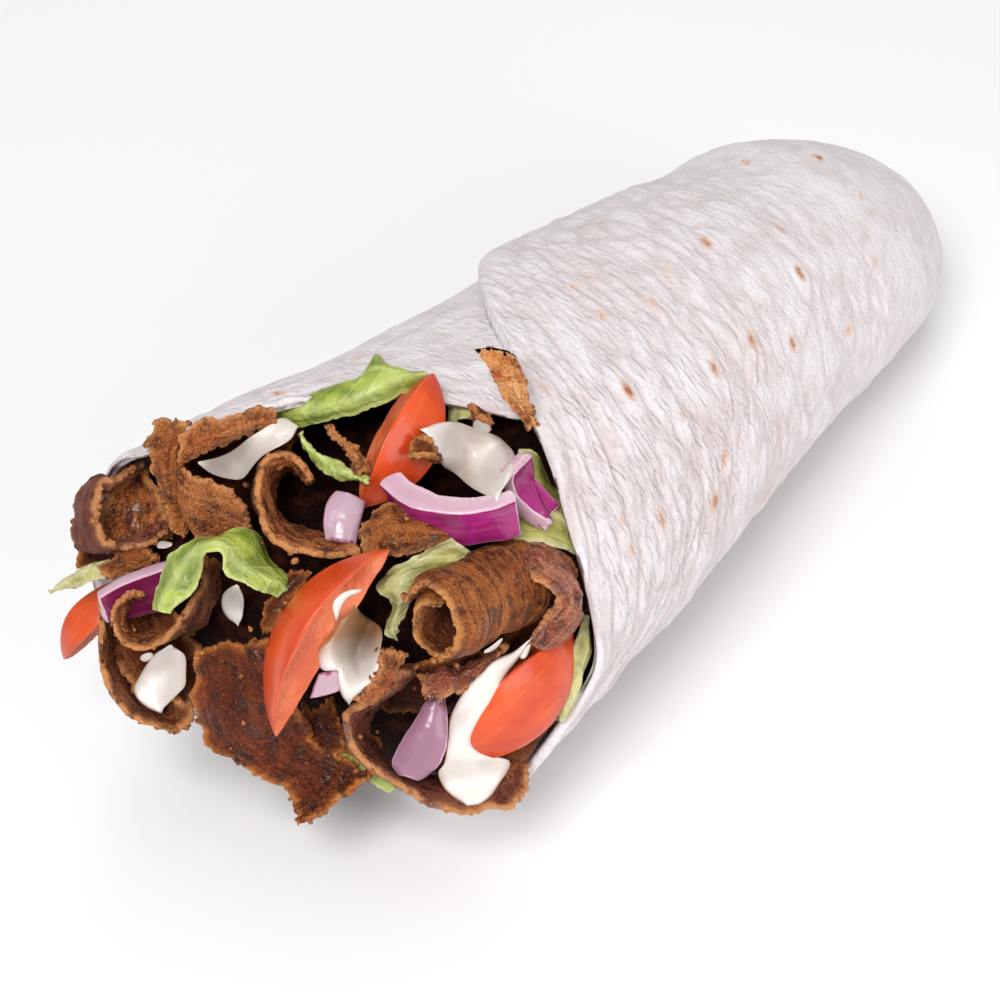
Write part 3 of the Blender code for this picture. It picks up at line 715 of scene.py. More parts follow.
@dataclass(frozen=True)
class FillingFinish:
    """Packed filling deep in the roll: wet meat painted near black, as the shade of the deep gaps between the
    pieces, with lighter flecks.
    """
    grain: bpy.types.NodeTree

    def material(self) -> bpy.types.Material:
        """Build the shader graph."""
        material, graph, shader = new_finish("packed_filling_painted_shade")
        patch, grit, rise = graph.grain(self.grain, 220.0, 800.0)
        # Painted shade: near-black base colours stand in for the shadow deep in the roll.
        colour = graph.blend(graph.ramp(patch, 0.42, 0.72), (0.01, 0.003, 0.002),
                             (0.06, 0.016, 0.007))
        flecks = graph.ramp(grit, 0.58, 0.75, 0.4)
        colour = graph.blend(flecks, colour, (0.16, 0.055, 0.025))
        graph.feed(shader, {"Base Color": colour, "Roughness": 0.7, "Specular IOR Level": 0.06})
        lay_bump(graph, shader, rise, 1.2)
        return material


@dataclass(frozen=True)
class TomatoFinish:
    """Tomato: glossy orange-red skin with fine pale flecks over moist orange flesh."""
    grain: bpy.types.NodeTree
    skin: Colour = (0.68, 0.085, 0.014)
    deep: Colour = (0.5, 0.04, 0.006)
    flesh: Colour = (0.52, 0.09, 0.028)
    wall: Colour = (0.66, 0.16, 0.06)

    def material(self) -> bpy.types.Material:
        """Build the shader graph."""
        material, graph, shader = new_finish("tomato_wedge")
        patch, _, rise = graph.grain(self.grain, 120.0, 1100.0)
        streaks = graph.streaks(12.0, 1.2, 3.0, 0.3)
        skin = graph.blend(graph.ramp(patch, 0.3, 0.7), self.deep, self.skin)
        skin = graph.blend(graph.ramp(streaks, 0.5, 0.75, 0.3), skin, (0.8, 0.2, 0.06))
        flesh = graph.blend(graph.ramp(patch, 0.4, 0.65), self.flesh, self.wall)
        flesh = graph.blend(graph.ramp(graph.mark("rind"), 0.02, 0.3), flesh, self.wall)
        colour = graph.blend(graph.ramp(graph.mark("rind"), 0.45, 0.75), flesh, skin)
        graph.feed(shader, {"Base Color": colour, "Roughness": 0.3, "Subsurface Weight": 0.12,
                            "Subsurface Scale": 0.0015, "Subsurface Radius": (1.0, 0.25, 0.1),
                            "Coat Weight": 0.25, "Coat Roughness": 0.08, "Specular IOR Level": 0.4})
        wet = graph.math("MULTIPLY", rise, graph.ramp(graph.mark("rind"), 0.75, 0.3))
        height = graph.math("ADD", graph.math("MULTIPLY", wet, 0.5),
                            graph.math("MULTIPLY", patch, 0.25))
        lay_bump(graph, shader, height, 0.5)
        return material


@dataclass(frozen=True)
class OnionFinish:
    """Red onion: shining outer skin, pale cut edges with fine lines, and a hollow side that is
    darker on a ring."""
    grain: bpy.types.NodeTree
    cut: OnionCut

    def material(self) -> bpy.types.Material:
        """Build the shader graph."""
        outer, deep, edge, inner = {
            OnionCut.RING: ((0.38, 0.018, 0.19), (0.2, 0.006, 0.085), (0.55, 0.34, 0.42),
                            (0.2, 0.012, 0.07)),
            OnionCut.CHIP: ((0.46, 0.3, 0.38), (0.32, 0.17, 0.25), (0.32, 0.05, 0.16),
                            (0.46, 0.31, 0.38)),
            OnionCut.PETAL: ((0.38, 0.21, 0.3), (0.26, 0.12, 0.18), (0.42, 0.26, 0.34),
                             (0.3, 0.15, 0.22))}[self.cut]
        material, graph, shader = new_finish("onion_" + self.cut.value)
        patch, _, _ = graph.grain(self.grain, 160.0, 1400.0)
        lines = graph.streaks(14.0, 0.8, 3.0, 0.15)
        skin = graph.blend(graph.ramp(patch, 0.3, 0.68), deep, outer)
        rim = graph.blend(graph.ramp(lines, 0.4, 0.66), edge, (0.66, 0.47, 0.54))
        colour = graph.blend(graph.ramp(graph.mark("outside"), 0.9, 0.99), rim, skin)
        colour = graph.blend(graph.ramp(graph.mark("inside"), 0.9, 0.99), colour, inner)
        colour = graph.blend(graph.ramp(lines, 0.5, 0.75, 0.12), colour, (0.66, 0.34, 0.5))
        graph.feed(shader, {"Base Color": colour, "Roughness": 0.26, "Subsurface Weight": 0.08,
                            "Subsurface Scale": 0.001, "Subsurface Radius": (1.0, 0.5, 0.7),
                            "Coat Weight": 0.3, "Coat Roughness": 0.1, "Specular IOR Level": 0.4})
        height = graph.math("ADD", graph.math("MULTIPLY", lines, 0.5), patch)
        lay_bump(graph, shader, height, 0.22)
        return material


@dataclass(frozen=True)
class LettuceFinish:
    """Lettuce: thin waxy leaf between two greens, with pale ribs and rim."""
    grain: bpy.types.NodeTree
    name: str
    leaf: Colour
    shade: Colour
    rib: Colour

    def material(self) -> bpy.types.Material:
        """Build the shader graph."""
        material, graph, shader = new_finish("lettuce_" + self.name)
        patch, _, rise = graph.grain(self.grain, 260.0, 1600.0)
        colour = graph.blend(graph.ramp(patch, 0.36, 0.64), self.shade, self.leaf)
        pale = graph.ramp(graph.streaks(10.0, 2.5, 2.0, 0.8), 0.5, 0.72)
        colour = graph.blend(graph.math("MULTIPLY", pale, 0.6), colour, self.rib)
        colour = graph.blend(graph.math("MULTIPLY", graph.mark("rib"), 0.6), colour, self.rib)
        colour = graph.blend(graph.math("MULTIPLY", graph.mark("edge"), 0.7), colour, self.rib)
        graph.feed(shader, {"Base Color": colour, "Roughness": 0.32, "Subsurface Weight": 0.15,
                            "Subsurface Scale": 0.001, "Subsurface Radius": (0.6, 1.0, 0.25),
                            "Coat Weight": 0.2, "Coat Roughness": 0.15, "Specular IOR Level": 0.4})
        veins = graph.streaks(5.0, 0.7, 3.0, 0.8)
        height = graph.math("ADD", graph.math("MULTIPLY", rise, 0.4),
                            graph.math("ADD", veins, graph.mark("rib")))
        lay_bump(graph, shader, height, 0.4)
        return material


@dataclass(frozen=True)
class SauceFinish:
    """Garlic yogurt sauce: smooth, thick, glossy, warm where it is thin, and brown with juice
    where its fade mark says so."""
    grain: bpy.types.NodeTree
    name: str = "sauce_white"
    white: Colour = (0.75, 0.7, 0.66)
    warm: Colour = (0.52, 0.36, 0.26)
    watery: Colour = (0.3, 0.15, 0.07)

    def material(self) -> bpy.types.Material:
        """Build the shader graph."""
        material, graph, shader = new_finish(self.name)
        patch, _, _ = graph.grain(self.grain, 130.0, 1500.0)
        thin = graph.math("ADD", graph.math("MULTIPLY", graph.mark("edge"), 0.6),
                          graph.ramp(patch, 0.55, 0.75, 0.35),
                          clamp=True)
        colour = graph.blend(thin, self.white, self.warm)
        colour = graph.blend(graph.mark("fade"), colour, self.watery)
        graph.feed(shader, {"Base Color": colour, "Roughness": 0.28, "Subsurface Weight": 0.2,
                            "Subsurface Scale": 0.0015, "Subsurface Radius": (1.0, 0.8, 0.6),
                            "Coat Weight": 0.2, "Coat Roughness": 0.1})
        lay_bump(graph, shader, patch, 0.35)
        return material


# ------------------------------------------------------------------ tortilla and packed filling

@dataclass(frozen=True)
class Tortilla:
    """The rolled sheet, wrinkled where the outer flap is pulled across the filling, with toasted
    blisters and pleats where its far end is folded in."""
    roll: Roll
    columns: int = 210
    rows: int = 220
    cap_rows: int = 36
    spots: tuple[tuple[float, float, float], ...] = (
        (-12, 123, 1.0), (-1, 102, 0.6), (2, 89, 0.5), (10, 108, 0.5), (20, 103, 0.4), (34, 102, 0.9),
        (-26, 110, 0.5), (9, 134, 0.8), (-5, 138, 0.4), (72, 76, 0.7), (85, 94, 1.0), (81, 118, 0.5),
        (53, 112, 0.7), (46, 129, 1.0), (70, 142, 0.5), (52, 158, 0.6), (22, 136, 0.9), (32, 146, 0.9),
        (0, 157, 0.7), (-7, 165, 0.9), (14, 189, 0.7), (-32, 156, 0.4), (-22, 156, 0.8), (-31, 148, 0.4),
        (-23, 187, 0.4), (-2, 190, 0.3))
    unseen_spots: int = 46
    rim_rows: int = 16
    rim_share: float = 0.02
    seam_share: float = 0.012

    def arc_at(self, angle: float | Array) -> float | Array:
        """Way round the roll in millimetres, a little shortened as the roll is flattened."""
        return angle * math.radians(1.0) * self.roll.half_width * 0.92

    def blisters(self, x: Array, angle: Array) -> tuple[Array, Array, Array]:
        """Toasted spots and the lens-shaped blisters round them.

        Each spot is a bell over an ellipse, short along the roll and long round it; its blister
        is a wider low swelling with a shallow furrow at its border, where shade is also painted.

        Returns:
            The toast mark, 0 to 1, the mark of painted shade on the blister borders, 0 to 1, and the height
            in millimetres.
        """
        rng = np.random.default_rng(11)
        unseen = np.stack((rng.uniform(-60, 108, self.unseen_spots), rng.uniform(195, 425, self.unseen_spots),
                           rng.uniform(0.3, 0.9, self.unseen_spots)), -1)
        toast, crease_shade, height = (np.zeros(x.shape) for _ in range(3))
        for place, turn, power in np.concatenate((np.array(self.spots), unseen)):
            along = x - place
            round_way = self.arc_at((angle - turn + 180.0) % 360.0 - 180.0)
            skew = along + 0.25 * round_way
            spot = np.hypot(skew / 1.1, round_way / (0.9 + 0.6 * power))
            lens = np.hypot(skew / 2.4, round_way / (3.0 + 3.0 * power))
            ring = np.exp(-((lens - 1.2) / 0.26) ** 2)
            toast = np.maximum(toast, power * np.exp(-spot ** 2.0))
            crease_shade = np.maximum(crease_shade, 0.8 * ring)
            height += (0.4 + 0.6 * power) * (0.35 * np.exp(-lens ** 2) - 0.3 * ring) \
                - 0.18 * power * np.exp(-spot ** 2)
        return toast, crease_shade, height

    def wrinkles(self, x: Array, angle: Array, rim: Array) -> tuple[Array, Array, Array]:
        """Creases that run round the roll, and slow waves under them.

        The creases are the borders of uneven cells, short along the roll and long round it, on
        coordinates that noise bends; each cell swells or sinks a little of its own. Fine cells
        crowd near the mouth, and broad ones reach the folded end.

        Returns:
            The strength of fine wrinkles, 0 to 1, the mark of painted shade along the creases, 0 to 1, and
            the height in millimetres.
        """
        arc = self.arc_at(angle)
        from_rim = x - rim
        plane = np.stack((from_rim, arc, 0 * arc), -1)
        bend = 3.2 * lattice_noise(plane, 19.0, 5) + 1.0 * lattice_noise(plane, 6.5, 6)
        fan = 0.16 * (angle - 130.0) * (1.0 - smooth_step((from_rim - 10.0) / 60.0))
        along = from_rim + bend + fan
        near = smooth_step((from_rim - 1.0) / 4.0) * (1.0 - 0.85 * smooth_step((x + 14.0) / 52.0))
        front = 0.35 + 0.65 * smooth_step(1.0 - np.abs((angle - 140.0 + 180.0) % 360.0 - 180.0) / 95.0)
        strength = near * front
        broad = 0.45 + 0.55 * smooth_step((80.0 - x) / 70.0)
        crease_shade, height = np.zeros(x.shape), np.zeros(x.shape)
        for wide, long, depth, blur, where, seed in (
                (2.3, 13.0, 0.5, 0.5, strength, 31), (4.6, 10.0, 0.46, 0.26, broad, 47),
                (8.5, 17.0, 0.46, 0.16, broad, 83)):
            gap, own = cell_borders(np.stack((along / wide, arc / long), -1), seed)
            kept = smooth_step(0.5 + 1.3 * lattice_noise(plane, 2.4 * wide, seed + 9)) * where
            line = np.exp(-(gap / blur) ** 2) * kept
            crease_shade = np.maximum(crease_shade, line)
            height += depth * (0.22 * own * smooth_step(gap / 0.6) * where - line)
        waves = 0.45 * lattice_noise(np.stack((x, arc * 0.5, 0 * x), -1), 17.0, 3)
        waves = waves + 0.3 * lattice_noise(np.stack((x + bend, arc * 0.45, 0 * x), -1), 8.0, 9)
        return strength, crease_shade, height + waves * smooth_step(from_rim / 12.0)

    def pleats(self, x: Array, angle: Array) -> Array:
        """Soft folds gathered under the far end: waves round the roll that grow towards it."""
        under = smooth_step(1.0 - np.abs((angle - 265.0 + 180.0) % 360.0 - 180.0) / 120.0)
        grow = smooth_step((x - 84.0) / 30.0)
        turn = np.radians(angle)
        return grow * (0.3 + 0.7 * under) * (0.75 * np.sin(7.0 * turn + 0.05 * x) + 0.4 * np.sin(13.0 * turn))

    def rim_columns(self) -> tuple[Array, Array]:
        """Angle and place of the rim at each column, and more columns beside the flap's edge."""
        roll, tip = self.roll, self.seam_share
        angles, places = np.array(roll.rim, float).T
        lengths = np.hypot(np.diff(angles) * math.radians(roll.half_width), np.diff(places))
        travel = np.concatenate(((0,), np.cumsum(lengths))) / lengths.sum()
        even = np.linspace(0.0, 1.0, self.columns)
        share = even - 0.06 * np.sin(2.0 * math.pi * even)
        share = np.concatenate((np.linspace(0.0, tip, 9)[:-1], tip + (1.0 - tip) * share))
        rim_angle = np.interp(share, travel, angles)
        return rim_angle, roll.rim_x(np.clip(rim_angle, 112.001, 471.999))

    def places(self, rim_place: Array) -> tuple[Array, Array]:
        """Share of the way to the folded end at each row before it, and the place along the roll
        of every point."""
        roll, first = self.roll, self.rim_share
        steps = np.concatenate((np.linspace(0, first, self.rim_rows)[:-1],
                                np.linspace(first, 1.0, self.rows)))[:, None]
        spread = first + (1.0 - first) * ((steps - first) / (1.0 - first)).clip(0.0) ** 1.22
        steps = np.where(steps > first, spread, steps)
        x = rim_place + (roll.dome_start - rim_place) * steps
        lift = np.sin(np.linspace(0.0, math.pi / 2.0, self.cap_rows + 1))[1:-1, None]
        dome = roll.dome_start + (roll.dome_end - roll.dome_start) * lift + 0 * rim_place
        return steps, np.concatenate((x, dome))

    def overlap(self, x: Array, from_edge: Array, edge_mm: Array, low: Array) -> Array:
        """How far out the sheet lies: a lifted and rounded lip at the flap's edge, and less where
        it passes under the flap.

        Args:
            x: place along the roll of each point.
            from_edge: degrees from the flap's edge.
            edge_mm: the same in millimetres.
            low: how far the sheet has dropped under the flap.

        Returns:
            The offset in millimetres.
        """
        roll = self.roll
        lip = roll.lip_lift * (1.0 - smooth_step(from_edge / roll.lip_turn))
        lip = lip * smooth_step((x + 34.0) / 14.0) * smooth_step((45.0 - x) / 40.0)
        base = lip - low
        under = base[:, -1:] - 0.1
        rounding = np.sqrt(1.0 - (1.0 - np.clip(edge_mm / 1.1, 0.0, 1.0)) ** 2)
        return under + (base - under) * rounding

    def drawn_back(self, x: Array, wall: Array, fade: Array) -> Array:
        """How far a wall moves towards the middle of the sheet, whose rim is half a circle.

        Args:
            x: place along the roll of each point.
            wall: points of the wall.
            fade: 1 at the rim, and 0 where the roundness ends.

        Returns:
            One move for each point, outwards.
        """
        depth = 0.5 * self.roll.sheet * (1.0 - np.sqrt(np.maximum(1.0 - fade ** 2, 0.0)))
        outward = unit(wall - np.stack(np.broadcast_arrays(x, *self.roll.middle(x)), -1))
        return depth[..., None] * outward

    def outer_wall(self, steps: Array, x: Array, angle: Array, offset: Array) -> Array:
        """Outer wall, flat where it lies on the ground and rounded inwards at its rim."""
        roll, rim = self.roll, self.rim_rows
        outer = roll.wall(x, angle, offset)
        outer[..., 2] = np.maximum(outer[..., 2], 0.0)
        fade = 1.0 - np.clip(steps[:rim] * (roll.dome_start + 60.0) / (0.5 * roll.sheet), 0.0, 1.0)
        outer[:rim] -= self.drawn_back(x[:rim], outer[:rim], fade)
        return outer

    def inner_wall(self, x: Array, angle: Array, low: Array) -> Array:
        """Inner wall, one sheet inside the outer one and rounded outwards at its rim."""
        roll = self.roll
        inner = roll.wall(x - roll.sheet * smooth_step((x - 70.0) / 30.0), angle, -roll.sheet - low)
        fade = 1.0 - np.clip((x - x[:1]) / (0.5 * roll.sheet), 0.0, 1.0)
        inner += self.drawn_back(x, inner, fade)
        inner[..., 2] = np.maximum(inner[..., 2], roll.sheet)
        return inner

    def skin(self) -> Skin:
        """The closed sheet: outer wall, rounded rim and inner wall, joined at the flap's edge."""
        roll = self.roll
        rim_angle, rim_place = self.rim_columns()
        steps, x = self.places(rim_place)
        twist = np.abs(rim_angle - roll.seam_start - 180.0) / 180.0
        angle = rim_angle + (soft_curve(roll.seam, x, 2.5) - roll.seam_start) * twist
        fade = 0.12 + 0.88 * (1.0 - smooth_step((x - 55.0) / 35.0))
        low = roll.flap_drop(x, np.minimum(rim_angle, roll.seam_start + 359.9)) * fade
        from_edge = (rim_angle - roll.seam_start) * (1.0 + roll.seam_spread * twist)
        edge_mm = from_edge * math.radians(1.0) * roll.half_width
        strength, crease_shade, folds = self.wrinkles(x, angle, rim_place + 0 * x)
        toast, rings, bumps = self.blisters(x, angle % 360.0)
        calm = smooth_step(edge_mm / 4.0) * smooth_step((edge_mm[-1] - edge_mm) / 6.0)
        calm = calm * (1.0 - smooth_step((x - 112.0) / 8.0))
        offset = self.overlap(x, from_edge, edge_mm, low) + (folds + bumps + self.pleats(x, angle)) * calm
        last = len(steps) - 1
        rows = np.concatenate((np.arange(0, self.rim_rows, 2), np.arange(self.rim_rows, last, 8),
                               np.arange(last, len(x), 2)))
        # Painted shade: this mark darkens the creases and blister borders in the finish.
        painted = {"toast": toast, "crease_shade": np.maximum(crease_shade, rings) * calm,
                   "wrinkle": 0.2 + 0.8 * strength}
        return self.sewn(self.outer_wall(steps, x, angle, offset),
                         self.inner_wall(x[rows], angle[rows], low[rows]), rows, x, angle, painted)

    def sewn(self, outer: Array, inner: Array, rows: Array, x: Array, angle: Array,
             painted: dict[str, Array]) -> Skin:
        """Join the outer and inner walls into one closed surface.

        Args:
            outer: grid of the outer wall, its first and last columns at the seam.
            inner: grid of the inner wall, whose last column falls on its first.
            rows: rows of the outer wall that the inner wall keeps.
            x: place along the roll of each outer point.
            angle: angle of each outer point.
            painted: marks of each outer point by name; a quarter of each shows inside.

        Returns:
            The closed surface, with its marks.
        """
        wide = outer.shape[1]
        first = np.arange(outer.shape[0] * wide).reshape(-1, wide)
        inner = inner[:, :-1]
        second = len(first.ravel()) + np.arange(inner.shape[0] * inner.shape[1]).reshape(inner.shape[:2])
        second = np.concatenate((second, second[:, :1]), axis=1)
        seam_strip = np.stack((first[:-1, -1], first[1:, -1], first[1:, 0], first[:-1, 0]), -1)
        mouth = np.stack((second[0, :-1], first[0, :-1], first[0, 1:], second[0, 1:]), -1)
        tips = np.array((second[:, :-1].max() + 1, second[:, :-1].max() + 2))
        end = np.array((self.roll.dome_end, *self.roll.middle(np.array(self.roll.dome_end))))
        fans = [np.stack((first[-1, :-1], np.full(wide - 1, tips[0]), first[-1, 1:]), -1),
                np.array([[first[-1, -1], tips[0], first[-1, 0]], [first[0, -1], first[0, 0], second[0, 0]]]),
                np.stack((second[-1, 1:], np.full(wide - 1, tips[1]), second[-1, :-1]), -1)]
        faces = np.concatenate((block_faces(first), seam_strip, mouth, block_faces(second, True)))
        points = np.concatenate((outer.reshape(-1, 3), inner.reshape(-1, 3),
                                 (end, end - (self.roll.sheet, 0.0, 0.0))))
        arc = self.arc_at(angle)
        marks = {name: np.concatenate((mark.ravel(), 0.25 * mark[rows][:, :-1].ravel(), (0.0, 0.0)))
                 for name, mark in painted.items()}
        marks |= {
            "u": np.concatenate((arc.ravel(), arc[rows][:, :-1].ravel(), (0.0, 0.0))),
            "v": np.concatenate((x.ravel(), x[rows][:, :-1].ravel(), (0.0, 0.0)))}
        return Skin(points, faces, marks, np.concatenate(fans))

    def build(self, bench: Workbench, finish: TortillaFinish) -> None:
        """Make the piece and let it stand for its node."""
        bench.make("tortilla", self.skin(), finish.material(), "tortilla", "tortilla_wrap")


@dataclass(frozen=True)
class PackedFilling:
    """The meat and salad packed inside the roll, drawn in to a rounded nose at the mouth."""
    roll: Roll
    stand_back: float = 10.0
    nose: float = -79.0
    bend: float = -50.0
    slant: float = 0.33
    wall_gap: float = 0.6

    def skin(self) -> Skin:
        """Rings round the middle line, closing to the nose with the fourth power, and roughened
        inwards with torn lumps."""
        roll = self.roll
        nose = self.bend + (self.nose - self.bend) * np.cos(np.linspace(0.1, math.pi / 2.0, 60))
        x = np.concatenate((nose, np.linspace(self.bend + 1.0, 116.0, 90)))[:, None]
        angle = np.linspace(0.0, 360.0, 200, endpoint=False)[None, :]
        toward = np.maximum(np.cos(np.radians(angle - 135.0)), 0.0)
        back = self.stand_back * smooth_step((-20.0 - x) / 26.0) * (0.2 + 0.8 * toward)
        off = roll.sheet + roll.step + self.wall_gap + back + 1.4 * smooth_step((-25.0 - x) / 20.0)
        closing = (1 - (np.minimum(x - self.bend, 0) / (self.nose - self.bend)) ** 4).clip(0.02, 1) ** 0.5
        share = closing * roll.dome(x + 2.5)
        side, middle = roll.middle(x)
        turn = np.radians(angle)
        y = side + (roll.width_at(x) - off) * share * np.cos(turn)
        z = middle + (roll.width_at(x) * roll.flatness(x) - off) * share * np.sin(turn)
        z = z - 6.0 * smooth_step((-34.0 - x) / 30.0)
        slanted = x - self.slant * y * smooth_step((-30.0 - x) / 30.0)
        rings = np.stack(np.broadcast_arrays(slanted, y, np.maximum(z, roll.sheet + self.wall_gap)), -1)
        lumps = np.abs(rough_noise(rings, 9.0, 23, 4)) * 2.6
        axis = np.stack(np.broadcast_arrays(x, side, middle - 6.0 * smooth_step((-34.0 - x) / 30.0)), -1)
        rings = rings - lumps[..., None] * unit(rings - axis)
        return closed_loft(rings)

    def build(self, bench: Workbench, finish: FillingFinish) -> None:
        """Make the piece and let it stand for its node."""
        bench.make("filling", self.skin(), finish.material(), "filling", "packed_filling")


# ------------------------------------------------------------------ ingredients

@dataclass(frozen=True)
class Torn:
    """How thick and how torn a slice is, and how finely it is made.

    Its rim is rounded over a short way, and thin is the share of its thickness lost there. A
    loose slice may reach past the tortilla. A flipped one has its hollow side on the face that
    its normals leave.
    """
    thickness: float = 1.8
    tear: float = 1.0
    warp: float = 0.8
    rim: float = 0.5
    thin: float = 0.45
    rough: float = 1.0
    loose: bool = False
    flipped: bool = False
    rows: int = 148
    columns: int = 46

    def slice(self, mouth: Mouth, middle: Array, seed: int) -> Skin:
        """A slice round a middle surface that noise has moved, with uneven faces.

        Args:
            mouth: the mouth that it must stay inside unless it is loose.
            middle: grid of the middle surface.
            seed: picks the noise.

        Returns:
            The closed surface, whose inside mark lies on its hollow face.
        """
        normal = grid_normals(middle)
        push = 0.7 * lattice_noise(middle, 9.0, seed + 3) + 0.45 * lattice_noise(middle, 4.0, seed + 4)
        middle = middle + self.warp * push[..., None] * normal
        if not self.loose:
            middle = mouth.tuck_in(middle, self.thickness / 2.0 + 0.35)
        inner = smooth_step(border_distance(middle) / 3.0)
        half = 0.5 * self.thickness * (1.0 + 0.34 * lattice_noise(middle, 3.2, seed + 6))
        half = half * (1.0 - self.thin * (1.0 - inner))
        lumps = self.rough * self.warp * (0.26 * rough_noise(middle, 2.2, seed + 7, 3)
                                          + 0.2 * lattice_noise(middle, 0.8, seed + 8)
                                          + 0.1 * lattice_noise(middle, 0.45, seed + 9))
        result = closed_slice(middle, half, self.rim, lumps, 0.8)
        if self.flipped:
            result.marks["outside"], result.marks["inside"] = (result.marks["inside"],
                                                               result.marks["outside"])
        return result

    def ragged(self, along: Array, seed: int) -> Array:
        """How far a torn border wanders, at distances along it: noise of 4, 1.5 and 0.6 mm."""
        line = np.stack((along, 0.0 * along + seed % 97, 0.0 * along), -1)
        return self.tear * (0.75 * lattice_noise(line, 4.2, seed) + 0.6 * lattice_noise(line, 1.5, seed + 1)
                            + 0.42 * lattice_noise(line, 0.6, seed + 2))


@dataclass(frozen=True)
class Curl:
    """A slice curled about an axis that points out of the mouth."""
    at: Place
    radius: tuple[float, float]
    arc: tuple[float, float]
    depth: float
    lean: tuple[float, float] = (0.0, 0.0)
    squash: tuple[float, float] = (1.0, 1.0)
    torn: Torn = Torn()

    def skin(self, mouth: Mouth, seed: int) -> Skin:
        """Surface of the curl.

        The middle surface turns through its arc while its radius grows from one size to the
        other; the second parameter runs inwards by the depth. Noise tears its outer edge.
        """
        right, up, facing = mouth.leaning(self.lean)
        u = crowded(self.torn.rows)[:, None]
        v = crowded(self.torn.columns)[None, :]
        turn = np.radians(self.arc[0] + (self.arc[1] - self.arc[0]) * u) + 0.0 * v
        size = self.radius[0] + (self.radius[1] - self.radius[0]) * u
        length = abs(self.arc[1] - self.arc[0]) * math.radians(1.0) * sum(self.radius) / 2.0
        inward = self.depth * v - self.torn.ragged(u * length, seed) * (1.0 - v) ** 3
        middle = (mouth.point(self.at) + (size * np.cos(turn) * self.squash[0])[..., None] * right
                  + (size * np.sin(turn) * self.squash[1])[..., None] * up - inward[..., None] * facing)
        return self.torn.slice(mouth, middle, seed)


@dataclass(frozen=True)
class Span:
    """A slice stretched between two edges, given by places that each edge passes."""
    near: tuple[Place, ...]
    far: tuple[Place, ...]
    bulge: float = 0.0
    ruffle: float = 0.0
    waves: float = 3.0
    end_tear: float = 1.0
    torn: Torn = Torn()

    @staticmethod
    def edge(mouth: Mouth, places: tuple[Place, ...], u: Array) -> Array:
        """Points of an edge: its places joined and smoothed, with u from 0 to 1 along it."""
        knots = np.linspace(0.0, 1.0, len(places))
        blur = 0.3 / (len(places) - 1)
        columns = [soft_curve(tuple(zip(knots, column)), u, blur) for column in np.array(places, float).T]
        return mouth.cast(np.stack(columns, -1))

    def skin(self, mouth: Mouth, seed: int) -> Skin:
        """Surface of the slice.

        The middle surface runs straight from the near edge (v = 0) to the far one (v = 1), plus
        a bulge of 4v(1 - v) and waves that grow towards the edges, both along its normal. Noise
        moves each border in its own plane.
        """
        u = crowded(self.torn.rows)
        v = crowded(self.torn.columns)[None, :, None]
        near, far = self.edge(mouth, self.near, u), self.edge(mouth, self.far, u)
        across = (far - near)[:, None]
        way = unit(across)
        along = unit(np.gradient((near + far) / 2.0, axis=0))[:, None]
        normal = unit(np.cross(along, way))
        normal = normal * np.sign(np.sum(normal @ mouth.frame[2]) + 1e-9)
        length = np.linalg.norm(np.diff((near + far) / 2.0, axis=0), axis=-1).sum()
        travel = (u * length)[:, None]
        first = self.torn.ragged(travel, seed)[..., None] * (1.0 - v) ** 4
        second = self.torn.ragged(travel, seed + 40)[..., None] * v ** 4
        width = np.linalg.norm(across, axis=-1, keepdims=True)
        end = self.end_tear * self.torn.ragged((width * v)[..., 0], seed + 80)[..., None]
        end = end * ((2.0 * u - 1.0) ** 9)[:, None, None]
        turns = (self.waves * math.pi * u)[:, None, None]
        wave = self.ruffle * (np.sin(2.0 * turns + seed) * (1.0 - v) ** 2
                              + np.sin(2.6 * turns + 2.0 * seed) * v ** 2)
        middle = (near[:, None] + across * v + way * (second - first) + along * end
                  + normal * (self.bulge * 4.0 * v * (1.0 - v) + wave))
        return self.torn.slice(mouth, middle, seed)


